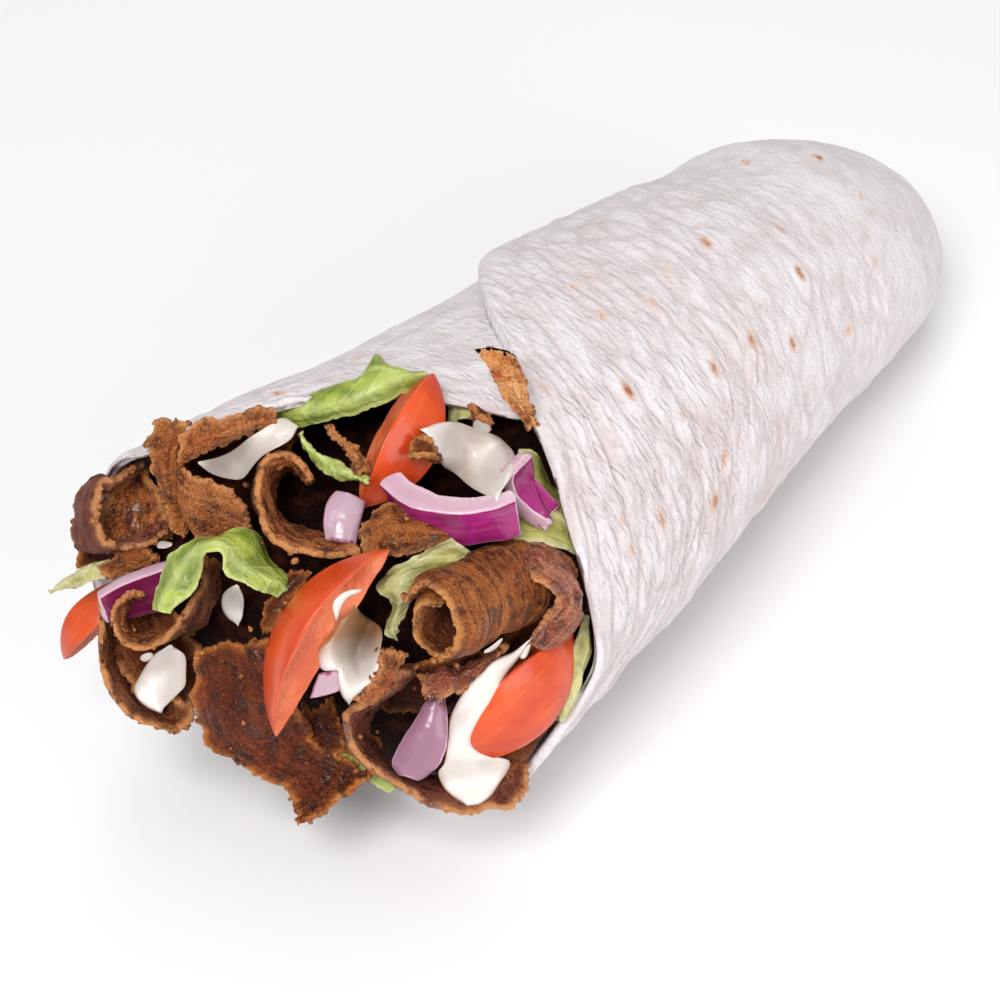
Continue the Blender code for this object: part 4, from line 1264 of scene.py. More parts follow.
@dataclass(frozen=True)
class Wedge:
    """A tomato wedge: part of a ball's skin over flesh that thins out to both ends."""
    at: Place
    radius: float
    pole: Place
    skin_way: Place
    opening: float = 34.0
    reach: float = 50.0
    flesh: float = 8.0
    rows: int = 130
    side_count: int = 34

    def skin(self, mouth: Mouth, seed: int) -> Skin:
        """Surface of the wedge.

        Rings lie across its long way. Each goes over the skin along an arc of the ball, down one
        cut face, back under the flesh and up the other, and is then averaged a little with
        itself to round its corners. The arc shrinks as (1 - s²)^¾ and the flesh as 1 - s² at s
        along the wedge, so its ends are pointed.
        """
        along = unit(np.array(self.pole, float) @ mouth.frame)
        face = np.array(self.skin_way, float) @ mouth.frame
        face = unit(face - (face @ along) * along)
        side = np.cross(along, face)
        share = np.sin(np.linspace(-1.0, 1.0, self.rows) * math.pi / 2.0 * 0.985)[:, None]
        tilt = np.radians(self.reach * share)
        count = self.side_count
        half = math.radians(self.opening / 2.0) * (1.0 - 0.995 * share ** 2) ** 0.75
        turn = half * np.concatenate((np.linspace(-1.0, 1.0, count), np.ones(count),
                                      np.linspace(1.0, -1.0, count), -np.ones(count)))[None, :]
        even = np.linspace(0.0, 1.0, count)
        deep = np.concatenate((np.zeros(count), even, np.ones(count), 1.0 - even))[None, :]
        rind = np.concatenate((np.ones(count), np.exp(-(even / 0.12) ** 2), np.zeros(count),
                               np.exp(-((1.0 - even) / 0.12) ** 2)))
        out = np.cos(turn)[..., None] * face + np.sin(turn)[..., None] * side
        centre = mouth.point(self.at) - self.radius * face
        skin_points = centre + self.radius * (np.cos(tilt)[..., None] * out + np.sin(tilt)[..., None] * along)
        depth = self.flesh * (1.0 - 0.995 * share ** 2) * deep
        rings = skin_points - depth[..., None] * out
        hollow = 0.9 * np.sin(math.pi * deep) * (rind < 0.5) * (1.0 - share ** 2)
        rings = rings - (hollow * np.sign(turn))[..., None] * side
        for _ in range(5):
            rings = 0.5 * rings + 0.25 * (np.roll(rings, 1, 1) + np.roll(rings, -1, 1))
        flat = rings.reshape(-1, 3)
        bumpy = 0.22 * lattice_noise(flat, 7.0, seed) + 0.16 * (1.0 - np.tile(rind, self.rows)) \
            * rough_noise(flat, 2.6, seed + 1, 3)
        centre_line = np.repeat(rings.mean(1), rings.shape[1], axis=0)
        rings = (flat + bumpy[:, None] * unit(flat - centre_line)).reshape(rings.shape)
        result = closed_loft(rings)
        result.marks["rind"] = np.append(np.tile(rind, self.rows), (0.8, 0.8))
        result.marks["u"] = result.marks["u"] * self.radius * 2.0 * math.radians(self.reach)
        result.marks["v"] = result.marks["v"] * 60.0
        return result


def points_of(piece: bpy.types.Object) -> Array:
    """Points of a piece in millimetres."""
    points = np.empty(len(piece.data.vertices) * 3)
    piece.data.vertices.foreach_get("co", points)
    return points.reshape(-1, 3) / MM


@dataclass
class Relief:
    """How far out of the mouth the pieces made so far reach, over (across, up)."""
    mouth: Mouth
    cell: float = 0.5
    reach: float = 60.0
    blur: int = 6
    table: Array | None = None

    def measure(self, pieces: list[bpy.types.Object]) -> None:
        """Keep the furthest outward place of any point in each cell, fill the gaps from their
        neighbours, and blur the table with repeated averages."""
        count = int(2 * self.reach / self.cell)
        table = np.full((count, count), -90.0)
        for piece in pieces:
            local = self.mouth.seen(points_of(piece))
            cells = np.floor((local[:, :2] + self.reach) / self.cell).astype(int)
            kept = ((cells >= 0) & (cells < count)).all(1)
            np.maximum.at(table, (cells[kept, 0], cells[kept, 1]), local[kept, 2])
        for _ in range(3):
            around = np.max([np.roll(table, shift, axis) for axis in (0, 1) for shift in (-1, 1)], axis=0)
            table = np.where(table < around - 6.0, around, table)
        for _ in range(self.blur):
            table = 0.2 * (table + np.roll(table, 1, 0) + np.roll(table, -1, 0) + np.roll(table, 1, 1)
                           + np.roll(table, -1, 1))
        self.table = table

    def height_at(self, flat: Array) -> Array:
        """Outward place of the relief at (across, up), blended between its four cells."""
        scaled = (flat + self.reach) / self.cell - 0.5
        corner = np.clip(np.floor(scaled).astype(int), 0, self.table.shape[0] - 2)
        share = scaled - corner
        i, j = corner[..., 0], corner[..., 1]
        a, b = share[..., 0], share[..., 1]
        return ((1 - a) * (1 - b) * self.table[i, j] + a * (1 - b) * self.table[i + 1, j]
                + (1 - a) * b * self.table[i, j + 1] + a * b * self.table[i + 1, j + 1])


@dataclass(frozen=True)
class Pour:
    """Sauce that lies over what is under it, between two borders of (across, up) places."""
    near: tuple[tuple[float, float], ...]
    far: tuple[tuple[float, float], ...]
    height: float = 1.3
    fade: float = 0.0
    least: float = -40.0
    rows: int = 90
    columns: int = 46

    def skin(self, mouth: Mouth, relief: Relief, seed: int) -> Skin:
        """Surface of the sauce.

        Its plan is ruled between the two smoothed borders and closes towards both ends. Its top is
        the relief under it, no deeper than least, plus a cushion of (1 - w^2.4)^0.7, with w the
        distance from the middle of the plan to its border, and its underside lies a little way
        into the relief. The fade mark falls from 1 at the start to 0 at the fade share of its
        length.
        """
        u = crowded(self.rows)
        v = crowded(self.columns)[None, :]
        edges = []
        for places in (self.near, self.far):
            knots = np.linspace(0.0, 1.0, len(places))
            edges.append(np.stack([soft_curve(tuple(zip(knots, column)), u, 0.3 / (len(places) - 1))
                                   for column in np.array(places, float).T], -1)[:, None])
        close = 0.5 + (v - 0.5) * (1.0 - 0.85 * np.abs(2.0 * u - 1.0) ** 5)[:, None]
        flat = edges[0] * (1.0 - close[..., None]) + edges[1] * close[..., None]
        wander = np.concatenate((flat, np.zeros((*flat.shape[:2], 1))), -1)
        shift = np.stack((lattice_noise(wander, 3.5, seed), lattice_noise(wander, 3.5, seed + 1)), -1)
        flat = flat + 0.45 * shift
        ground = np.maximum(relief.height_at(flat), self.least)
        off_centre = np.maximum(np.abs(2.0 * u - 1.0)[:, None] ** 3, np.abs(2.0 * v - 1.0))
        border = off_centre > 0.9999
        dome = self.height * np.maximum(1.0 - off_centre ** 2.4, 0.0) ** 0.7
        dome = dome * (1.0 + 0.25 * lattice_noise(wander, 5.0, seed + 2))
        over = mouth.cast(np.concatenate((flat, (ground + dome - 0.25)[..., None]), -1))
        under = mouth.cast(np.concatenate((flat, (ground - 1.0)[..., None]), -1))
        inside = under[1:-1, 1:-1].reshape(-1, 3)
        over = np.where(border[..., None], (over + under) / 2.0, over)
        count = len(inside)
        thin = np.exp(-(dome / (0.45 * self.height)) ** 2)
        watery = np.clip(2.2 - 2.2 * u[:, None] / max(self.fade, 1e-3) + 0.0 * v, 0.0, 1.0)
        watery = watery * (self.fade > 0.0)
        marks = {"edge": np.append(thin.ravel(), np.ones(count)),
                 "fade": np.append(watery.ravel(), np.zeros(count)),
                 "u": np.append(flat[..., 0].ravel(), np.zeros(count)),
                 "v": np.append(flat[..., 1].ravel(), np.zeros(count))}
        points = np.concatenate((over.reshape(-1, 3), inside))
        return Skin(points, paired_faces(*flat.shape[:2]), marks)


MEAT: dict[str, tuple[Curl | Span, MeatTone]] = {
    "meat_roll_tight": (Curl(
        at=(20, -6, 9), radius=(3.1, 6.4), arc=(70, 520), depth=25, lean=(-0.8, -0.3),
        squash=(0.88, 1.04), torn=Torn(2.9, tear=0.55, warp=0.6, thin=0.75, flipped=True, rows=340,
                                       columns=66)), MeatTone.GOLDEN),
    "meat_curl_hollow": (Span(
        near=((1.3, 16.2, -4), (-0.2, 18.6, -3), (-3, 19.9, -1), (-6, 18.8, 0), (-7.3, 15.5, 1),
              (-6.8, 11, 1.5), (-5, 7.4, 2), (-1, 4.6, 2.5), (4, 3.6, 2.5), (8.5, 4.6, 2)),
        far=((1.6, 15, -11), (0.4, 16.6, -14), (-2, 17.6, -15), (-4.2, 16.8, -15), (-5.2, 14.2, -15),
             (-4.6, 11.4, -14), (-3, 9.2, -13), (-0.3, 7.6, -12), (4, 6.8, -11), (8.5, 7, -10)),
        torn=Torn(2.0, rows=192)), MeatTone.ROASTED),
    "meat_slice_hanging": (Span(
        near=((-16.2, -11, -2.5), (-17.3, -15, -4), (-16.4, -20.5, -7), (-14.6, -26, -9.5),
              (-11.2, -27.2, -11), (-6.5, -30.2, -12.5), (-2.6, -32, -13.5), (-0.8, -35, -13.5),
              (-0.8, -37.4, -12)),
        far=((-4.6, -8.6, 0), (-3.2, -13, -1.5), (-2, -18, -4), (-0.2, -22, -8), (2.5, -25, -11.5),
             (5, -26.8, -13), (7.5, -28, -13.5), (9, -29, -13), (10, -29.6, -11)),
        bulge=-1.4, torn=Torn(1.8, tear=0.95, warp=1.1, rows=170, columns=82)), MeatTone.DARK),
    "meat_channel_right": (Span(
        near=((15.6, -13, -1), (13.6, -16, -1), (9.6, -18.6, -1.5), (6.8, -20.6, -2), (6.6, -24, -3.5),
              (9.4, -28, -5.5), (13.3, -31, -7), (19, -34.4, -8.5), (26, -36.8, -10), (31.5, -35.2, -11),
              (34.8, -33, -12), (34.6, -29.5, -13), (34.4, -27, -14)),
        far=((18, -14, -14), (16, -15, -15), (12.5, -17.5, -16), (10, -20.5, -17), (10, -24, -17),
             (12, -26.6, -17), (15, -28.2, -17), (19, -29.4, -17), (24, -30, -17), (28, -29.5, -17),
             (30.5, -28.5, -17), (32, -28, -17), (33, -27, -17)),
        torn=Torn(2.0, tear=1.1, rows=222, columns=60, flipped=True)), MeatTone.GLAZED),
    "meat_cup_far_left": (Span(
        near=((-27, 19.6, -13), (-29.4, 17.4, -12.5), (-30.9, 13.6, -12), (-31.6, 9.6, -12),
              (-31, 6.2, -12), (-27.5, 5.4, -12.5), (-23.6, 6.4, -13), (-20.8, 8.6, -13)),
        far=((-27.6, 20.8, -19), (-31, 18.4, -19), (-34, 14.5, -19), (-35.6, 9, -19), (-34.4, 4.6, -20),
             (-28.6, 6, -24), (-24, 8, -25), (-21.5, 10, -24)),
        torn=Torn(1.9, tear=1.4, warp=0.9, rows=192, columns=62)), MeatTone.GLAZED),
    "meat_curl_saucy_front": (Span(
        near=((-19.6, 20.4, -10), (-19.6, 18.6, -8), (-17.6, 17, -7), (-14.8, 15.8, -6),
              (-11.4, 15, -5), (-9.2, 12.8, -5), (-8.4, 10.4, -5)),
        far=((-19.4, 18.4, -15), (-19.2, 13, -14), (-18.4, 9, -13), (-16.6, 6.8, -13), (-13, 7, -12),
             (-9.6, 7, -12), (-7.6, 7.2, -11)),
        bulge=0.6, torn=Torn(1.8, flipped=True, rows=134)), MeatTone.ROASTED),
    "meat_curl_saucy_back": (Span(
        near=((-5.8, 26.6, -13), (-8, 26.6, -12), (-10.6, 24.8, -12), (-14, 23.4, -12),
              (-17, 22, -12), (-19.2, 20.4, -11.5)),
        far=((-5.4, 22.6, -22), (-8.4, 21.6, -21), (-11.4, 20, -21), (-14.6, 19, -21),
             (-17, 17.4, -20), (-18, 16.4, -19)),
        torn=Torn(2.0, tear=1.3, rows=134)), MeatTone.DARK),
    "meat_cup_lower_left": (Span(
        near=((-31.2, -3, -14), (-31.2, -8, -13), (-31.2, -13, -13), (-29.8, -17.4, -13),
              (-27, -20.6, -14), (-23, -22.2, -14.5), (-20, -23.6, -15), (-17.4, -22.4, -14.5),
              (-16.8, -19, -13.5)),
        far=((-29.4, -4, -21), (-28.4, -9, -23), (-27.8, -13, -24), (-26.4, -16, -24),
             (-24.4, -18, -24), (-22.4, -19, -22), (-21, -19.4, -20), (-20.2, -18.4, -18),
             (-20, -17.4, -16)),
        torn=Torn(1.7, tear=1.1, flipped=True, rows=192, columns=60)), MeatTone.ROASTED),
    "meat_hook_left": (Span(
        near=((-24.6, -1.8, -9), (-27, -2, -8.5), (-28.8, -4, -8), (-29, -7, -7.5), (-27.4, -9.6, -7),
              (-24.6, -10.4, -6.5), (-21.6, -8.8, -6), (-19, -6, -6), (-16.8, -3, -6), (-15.4, 0.4, -6.5),
              (-14.8, 4, -7)),
        far=((-24.4, -3.6, -16), (-26, -4, -17), (-26.8, -5.4, -17), (-26.6, -7, -17), (-25.4, -8.2, -16),
             (-23.6, -8, -16), (-21, -7.4, -15), (-17.6, -7.8, -14), (-14.6, -6, -13), (-12.8, -1.6, -12),
             (-12.4, 3.6, -12)),
        torn=Torn(1.6, rows=192, columns=44)), MeatTone.ROASTED),
    "meat_fold_right": (Span(
        near=((32.6, 3.6, -3), (33.6, 2, -1), (35.4, 0.4, 0), (38, -0.8, 0), (39.2, -2.6, -1),
              (37.6, -4.8, -2.5), (35.8, -7, -4), (35, -9.4, -5)),
        far=((34, 5.2, -8), (37, 5.4, -9), (40, 4.4, -10), (43, 2.2, -10), (43.2, -1.6, -9),
             (42.4, -5.2, -7), (40.6, -8.2, -7), (37.4, -10, -7)),
        bulge=1.0, torn=Torn(2.0, tear=0.9, rows=162)), MeatTone.GLAZED),
    "meat_strip_back_left": (Span(
        near=((-22, 24.4, -3), (-23.4, 20, -4), (-22, 15, -9), (-20.8, 11, -12), (-20, 8.6, -13)),
        far=((-18.4, 24.2, -3), (-18.8, 20, -5), (-19.2, 15, -10), (-18.6, 11, -14), (-18.4, 8.4, -15)),
        bulge=0.8, torn=Torn(1.6, tear=1.4, loose=True)), MeatTone.GOLDEN),
    "meat_flat_centre": (Span(
        near=((9.4, 4.6, 2), (12.8, 3.4, 1.6), (16, 4, 1.4), (20, 5, 0.6), (24.2, 6.4, -1)),
        far=((9.6, 8, 0), (12.6, 11.2, -1), (15.5, 11, -1), (19, 9.4, -1), (24, 7.4, -2)),
        bulge=0.7, torn=Torn(2.0, warp=1.0)), MeatTone.GOLDEN),
    "meat_strip_under_roll": (Span(
        near=((19.2, -17.2, -3), (22, -17, -3), (25, -16.8, -2), (27.4, -14.8, -2), (30, -12.4, -3)),
        far=((18.8, -14.4, -5), (22, -13.6, -5), (25.4, -12.8, -4), (28, -11.4, -4), (30.6, -9.8, -5)),
        bulge=0.8, torn=Torn(1.9)), MeatTone.GLAZED),
    "meat_scrap_left": (Span(
        near=((-31, 1, -17), (-29, 3.6, -16.5), (-26.6, 5.4, -16), (-24, 6, -16)),
        far=((-29.4, 0.2, -16), (-27.4, 1.2, -16), (-24.6, 2.2, -15.5), (-22, 3.6, -16)),
        bulge=0.8, torn=Torn(1.9, flipped=True)), MeatTone.GOLDEN),
    "meat_shard_crisp": (Span(
        near=((27, 36.4, -9), (28, 33.6, -9.5), (29.2, 30.4, -10.5), (31.4, 27.2, -12), (34.6, 23.4, -14)),
        far=((31.4, 36.9, -8), (33.4, 34.2, -8), (34.4, 31, -9), (34.6, 28.2, -10.5), (36.4, 24.2, -13)),
        bulge=-0.8, end_tear=0.3, torn=Torn(1.4, tear=0.6, loose=True)), MeatTone.CRISP),
    "meat_crumb_top": (Span(
        near=((26.6, 25.2, -9), (26.2, 27.2, -8), (27.6, 28.8, -8), (29.8, 28.6, -8)),
        far=((28.6, 24.8, -11), (28.6, 26, -11), (29, 26.8, -11), (29.8, 26.8, -11)),
        torn=Torn(1.5)), MeatTone.GOLDEN),
    "meat_splinter_back": (Span(
        near=((4, 22.8, -6), (5.8, 21, -5), (7.4, 18.8, -4), (8, 17, -4)),
        far=((4.5, 24.4, -7), (6.4, 22.2, -6), (8.6, 19.8, -5), (10, 17.4, -5)),
        bulge=0.5, torn=Torn(1.7)), MeatTone.GOLDEN),
    "meat_crumb_centre": (Span(
        near=((16.2, 19.2, -3), (16, 21.4, -3.5), (17.6, 22.6, -4)),
        far=((21, 18.6, -3), (20.8, 20.6, -3.5), (19.4, 21.8, -4)),
        bulge=1.2, torn=Torn(2.0)), MeatTone.GOLDEN),
    "meat_scrap_middle": (Span(
        near=((-5.4, -8, -3), (-5, -4.6, -3), (-3.6, -1.4, -3), (-1.6, 2, -3)),
        far=((-3.6, -8, -2), (-3, -5, -2), (-1.2, -1.6, -2), (1.4, 1.6, -2)),
        bulge=0.5, torn=Torn(2.0, flipped=True)), MeatTone.DARK),
    "meat_scrap_rim": (Span(
        near=((12.2, -10, 4), (11.8, -13, 4), (10.6, -15.6, 3), (8, -18, 1)),
        far=((15.6, -11.4, 1), (15, -13.6, 1), (14.2, -16.2, 0), (11.6, -18, -1)),
        bulge=0.8, torn=Torn(2.0, tear=1.3)), MeatTone.ROASTED),
    "meat_scrap_low": (Span(
        near=((0, -19.6, -12), (1.6, -24, -13), (4, -27, -14)),
        far=((5, -18.6, -12), (6.4, -22.6, -13), (7.6, -25.6, -14)),
        bulge=0.5, torn=Torn(2.2)), MeatTone.DARK),
}

SHREDS: dict[str, tuple[Span, MeatTone]] = {
    "shred_behind_cup": (Span(
        near=((-31.6, 5, -18), (-32, 10, -18), (-30, 15, -19), (-27.4, 19.6, -20)),
        far=((-20.6, 7, -17), (-20.8, 11, -18), (-22.4, 15, -18.5), (-24.4, 19, -18)), bulge=-2.2,
        torn=Torn(2.4, flipped=True)), MeatTone.ROASTED),
    "shred_cup_wall": (Span(
        near=((-35, 2, -22), (-35, 9, -23), (-32, 16, -24), (-27, 20.4, -25)),
        far=((-22, 1, -26), (-21, 9, -27), (-20, 15, -27), (-18, 19, -27)), torn=Torn(2.4)),
        MeatTone.DARK),
    "shred_behind_curls": (Span(
        near=((-22, 5, -20), (-20, 14, -21), (-17, 20, -22), (-12, 24.4, -23)),
        far=((-6, 3, -20), (-4, 12, -21), (-2, 20, -22), (2, 26, -22)), torn=Torn(2.4)), MeatTone.DARK),
    "shred_saucy_rim": (Span(
        near=((-18.6, 19.2, -6), (-16.6, 19.6, -5), (-13.4, 21, -5.5), (-10.6, 22.2, -7),
              (-8, 23.4, -8), (-5.4, 24.4, -9)),
        far=((-19, 22.6, -2.5), (-16.4, 24.2, -2.5), (-13, 25.4, -3.5), (-9.6, 26.4, -5),
             (-7, 27.6, -6), (-4.6, 26.8, -7.5)), bulge=0.8,
        torn=Torn(1.7, tear=1.2, loose=True)), MeatTone.ROASTED),
    "shred_low_left": (Span(
        near=((-31, -3, -18), (-30, -12, -19), (-26, -18, -19), (-20, -20, -18)),
        far=((-20, -2, -19), (-16, -9, -18), (-15, -13, -18), (-15, -17, -18)), bulge=-1.5,
        torn=Torn(2.2, flipped=True)), MeatTone.ROASTED),
    "shred_low_right": (Span(
        near=((27, -25, -13), (31, -23, -13), (36, -18, -13), (40, -12, -14)),
        far=((32, -32, -15), (36, -29.5, -16), (40, -24, -17), (43.5, -17, -18)), bulge=0.8,
        torn=Torn(2.2)), MeatTone.ROASTED),
    "shred_behind_right": (Span(
        near=((30, -12, -14), (34, -4, -14), (38, 4, -16), (40, 12, -20)),
        far=((36, -20, -18), (42, -10, -18), (45, -2, -18), (44, 8, -20)), torn=Torn(2.2)), MeatTone.DARK),
    "shred_under_roll": (Span(
        near=((10, -12, -8), (18, -13, -8), (27, -10, -9)),
        far=((12, -20, -14), (20, -21, -14), (30, -17, -14)), torn=Torn(2.2)), MeatTone.DARK),
    "shred_low_middle": (Span(
        near=((-4, -22, -15), (4, -23, -15), (12, -24, -16)),
        far=((-2, -28, -16), (5, -29, -17), (12, -29, -17)), torn=Torn(2.2)), MeatTone.DARK),
}

TOMATO: dict[str, Wedge] = {
    "tomato_wedge_front": Wedge(at=(-1.4, -5.5, 8), radius=21, pole=(0.52, 0.85, 0.05),
                                skin_way=(-0.9, 0.5, 0.6), opening=26, reach=53, flesh=7),
    "tomato_wedge_back": Wedge(at=(17.4, 21.5, -5), radius=17, pole=(0.45, 0.87, -0.2),
                               skin_way=(0.5, -0.2, 0.8), opening=34, reach=46, flesh=7),
    "tomato_wedge_right": Wedge(at=(35, -20.4, -6), radius=19, pole=(0.73, 0.66, -0.2),
                                skin_way=(0.38, -0.5, 0.8), opening=44, reach=52),
    "tomato_wedge_left": Wedge(at=(-37.6, -6, -24), radius=11, pole=(0.68, 0.7, 0.1),
                               skin_way=(-0.3, 0.3, 0.9), opening=32, reach=58, flesh=5),
}

ONION: dict[str, tuple[Curl | Span, OnionCut]] = {
    "onion_arc_centre": (Curl(
        at=(26, 21, -3.5), radius=(14, 13), arc=(205, 300), depth=8, lean=(-0.1, 0.9), squash=(1, 0.9),
        torn=Torn(3.3, tear=0.08, warp=0.2, rim=0.45, thin=0.0, flipped=True, rows=112)), OnionCut.RING),
    "onion_arc_top_right": (Curl(
        at=(37.6, 14.6, -0.5), radius=(7.0, 7.0), arc=(172, 272), depth=7, lean=(-0.6, -0.6),
        torn=Torn(2.2, tear=0.08, warp=0.2, rim=0.4, thin=0.0, rows=88)), OnionCut.RING),
    "onion_chip_hollow": (Span(
        near=((4.4, 6.4, -2), (3.8, 9, -2), (4.4, 11.6, -3), (6, 12.8, -4)),
        far=((7.6, 5.6, -2), (8.4, 8.4, -2), (9, 10.8, -3), (9.2, 12, -4)), bulge=1.0, end_tear=0.1,
        torn=Torn(3.0, tear=0.08, warp=0.3, rim=0.9, thin=0.0, rows=82)), OnionCut.CHIP),
    "onion_arc_left": (Span(
        near=((-31.6, -1.8, -11), (-28.5, 0.2, -10.5), (-24.8, 1.6, -10), (-21, 2.8, -10)),
        far=((-30.6, -6, -14), (-27.5, -5, -16), (-24, -4.6, -16), (-20.4, -4, -15)),
        torn=Torn(2.2, tear=0.08, warp=0.25, rim=0.4, thin=0.0, rows=88)), OnionCut.RING),
    "onion_chip_lower": (Span(
        near=((15.6, -29.2, -8), (13.7, -27.4, -7.5), (15.6, -24.4, -6.5), (18.2, -20.6, -6),
              (20.4, -17.2, -7)),
        far=((17.6, -29.6, -8), (21.3, -28, -7), (22.4, -24.6, -6), (22.2, -20.6, -6), (21.4, -17, -7)),
        bulge=1.2, end_tear=0.1, torn=Torn(2.2, tear=0.1, warp=0.25, rim=0.6, thin=0.2)), OnionCut.PETAL),
    "onion_chip_small": (Span(
        near=((1.2, -17.8, 4), (1.7, -16, 4.5), (2.6, -14, 5)),
        far=((5.4, -16.6, 3.5), (5.9, -14.8, 4), (6.2, -12.8, 4.5)),
        bulge=0.4, end_tear=0.1, torn=Torn(2.0, tear=0.1, warp=0.2, rim=0.5, thin=0.0)), OnionCut.CHIP),
}

LETTUCE: dict[str, Span] = {
    "lettuce_top": Span(
        near=((-9.4, 25.6, -17), (-5, 24, -15), (0, 24.2, -12.5), (5, 25.2, -11), (10, 26.2, -10),
              (15, 28.3, -10), (19.6, 30.3, -12)),
        far=((-9, 27.4, -18), (-4, 29, -17), (1, 29, -15), (6, 29.6, -13), (9.6, 31.8, -11.5),
             (11.2, 36.4, -12), (13.6, 33.2, -12.5), (18.4, 31.6, -13)),
        bulge=1.6, ruffle=0.9, waves=1.4, end_tear=0.5,
        torn=Torn(1.0, tear=0.45, warp=0.6, rim=0.3, rough=0.4, loose=True, rows=178, columns=66)),
    "lettuce_sliver": Span(
        near=((-0.8, 22.6, -8), (0.3, 20.4, -8), (1.9, 17.8, -7), (4.8, 16, -6), (7.4, 15.4, -5),
              (10.6, 15.2, -4)),
        far=((0.4, 23.2, -8), (1.8, 21, -7), (3.6, 19.4, -7), (6, 17.6, -6), (8.2, 17, -5),
             (10.4, 16, -4)),
        bulge=0.7, ruffle=0.5, waves=2.0, torn=Torn(0.9, tear=0.5, rim=0.4)),
    "lettuce_curl": Span(
        near=((-20, -5, -2), (-17.4, -2.8, -2), (-16, 0.6, -1), (-15, 4, 0), (-12.4, 4.4, 2),
              (-11.8, 2, 2.5), (-10.2, 0, 2), (-7, -1.6, 1), (-3.4, -2, 0)),
        far=((-21.8, -4.4, -6), (-22, -1, -5), (-21.4, 3.4, -5), (-18.4, 5.8, -3), (-14.3, 7.8, -1),
             (-10.2, 8, -2), (-6.4, 6.8, -5), (-4.4, 4, -5), (-2.4, 1, -3), (-2.4, -1.6, -2)),
        bulge=1.0, ruffle=0.8, waves=2.6, end_tear=0.4,
        torn=Torn(0.8, tear=0.35, warp=0.8, rim=0.3, rough=0.3, rows=192, columns=66)),
    "lettuce_tip_left": Span(
        near=((-39.2, -2, -19), (-36, -1, -18), (-33, 0, -17), (-30, 0.8, -16)),
        far=((-39, -1.6, -19), (-36, 1, -18.5), (-33, 2.6, -18), (-29.6, 3.6, -17)),
        bulge=0.5, ruffle=0.3, waves=1.5, torn=Torn(0.8, tear=0.3, rim=0.4)),
    "lettuce_centre": Span(
        near=((14.6, -9.2, 2), (12.4, -7.8, 1), (13, -5, 1), (13.4, -2.6, 2), (10.8, -1, 1),
              (12.6, 1.6, 1), (16, 3.4, 2), (19, 5, 2), (23.4, 6.6, 1)),
        far=((15, -8, 2), (15.6, -5.4, 2), (17, -3, 3), (18.6, -0.6, 3), (20.4, 0.8, 3),
             (22.4, 1.8, 2), (24.4, 2.8, 1), (26.2, 4.4, 0)),
        bulge=0.9, ruffle=0.9, waves=3.0, end_tear=0.4,
        torn=Torn(0.8, tear=0.4, rim=0.3, rough=0.4, rows=178)),
    "lettuce_right": Span(
        near=((31.4, 7.4, -7), (33.4, 5.6, -6), (37, 6.1, -6), (40, 5.1, -7), (43.2, 4.2, -9)),
        far=((33.4, 20.6, -14), (36, 20.2, -15), (38.4, 15.6, -16), (40, 12, -16), (42.8, 7, -14)),
        bulge=1.2, ruffle=0.4, waves=1.6, end_tear=0.4,
        torn=Torn(0.8, tear=0.3, rim=0.3, rough=0.3, columns=66)),
    "lettuce_edge_right": Span(
        near=((43.4, -5, -14), (42.4, -8, -14), (41, -12, -13), (39.8, -16, -13), (39.3, -19.4, -13),
              (39.4, -21.8, -14)),
        far=((44.2, -5, -15), (44.6, -9, -16), (44.3, -13.6, -16), (43, -17.6, -16), (41.6, -20, -15.5),
             (40, -22, -15)),
        bulge=0.8, end_tear=0.3, torn=Torn(0.8, tear=0.25, rim=0.3, rough=0.3)),
    "lettuce_behind": Span(
        near=((22.2, 24.4, -17), (24.6, 24.8, -16), (28, 25.4, -17)),
        far=((22.8, 28.2, -18), (25.2, 28.6, -17), (28.4, 28.2, -18)),
        ruffle=0.3, torn=Torn(0.8, tear=0.3, rim=0.3, rough=0.4)),
    "lettuce_low": Span(
        near=((2.4, -27, -14), (6, -28.6, -14.5), (10, -30.4, -15), (13.6, -32.4, -16)),
        far=((6, -25, -15), (8.6, -27, -15.5), (12, -29, -16), (15, -31.4, -16.5)),
        bulge=0.6, torn=Torn(0.8, tear=0.3, rim=0.3, rough=0.4)),
}

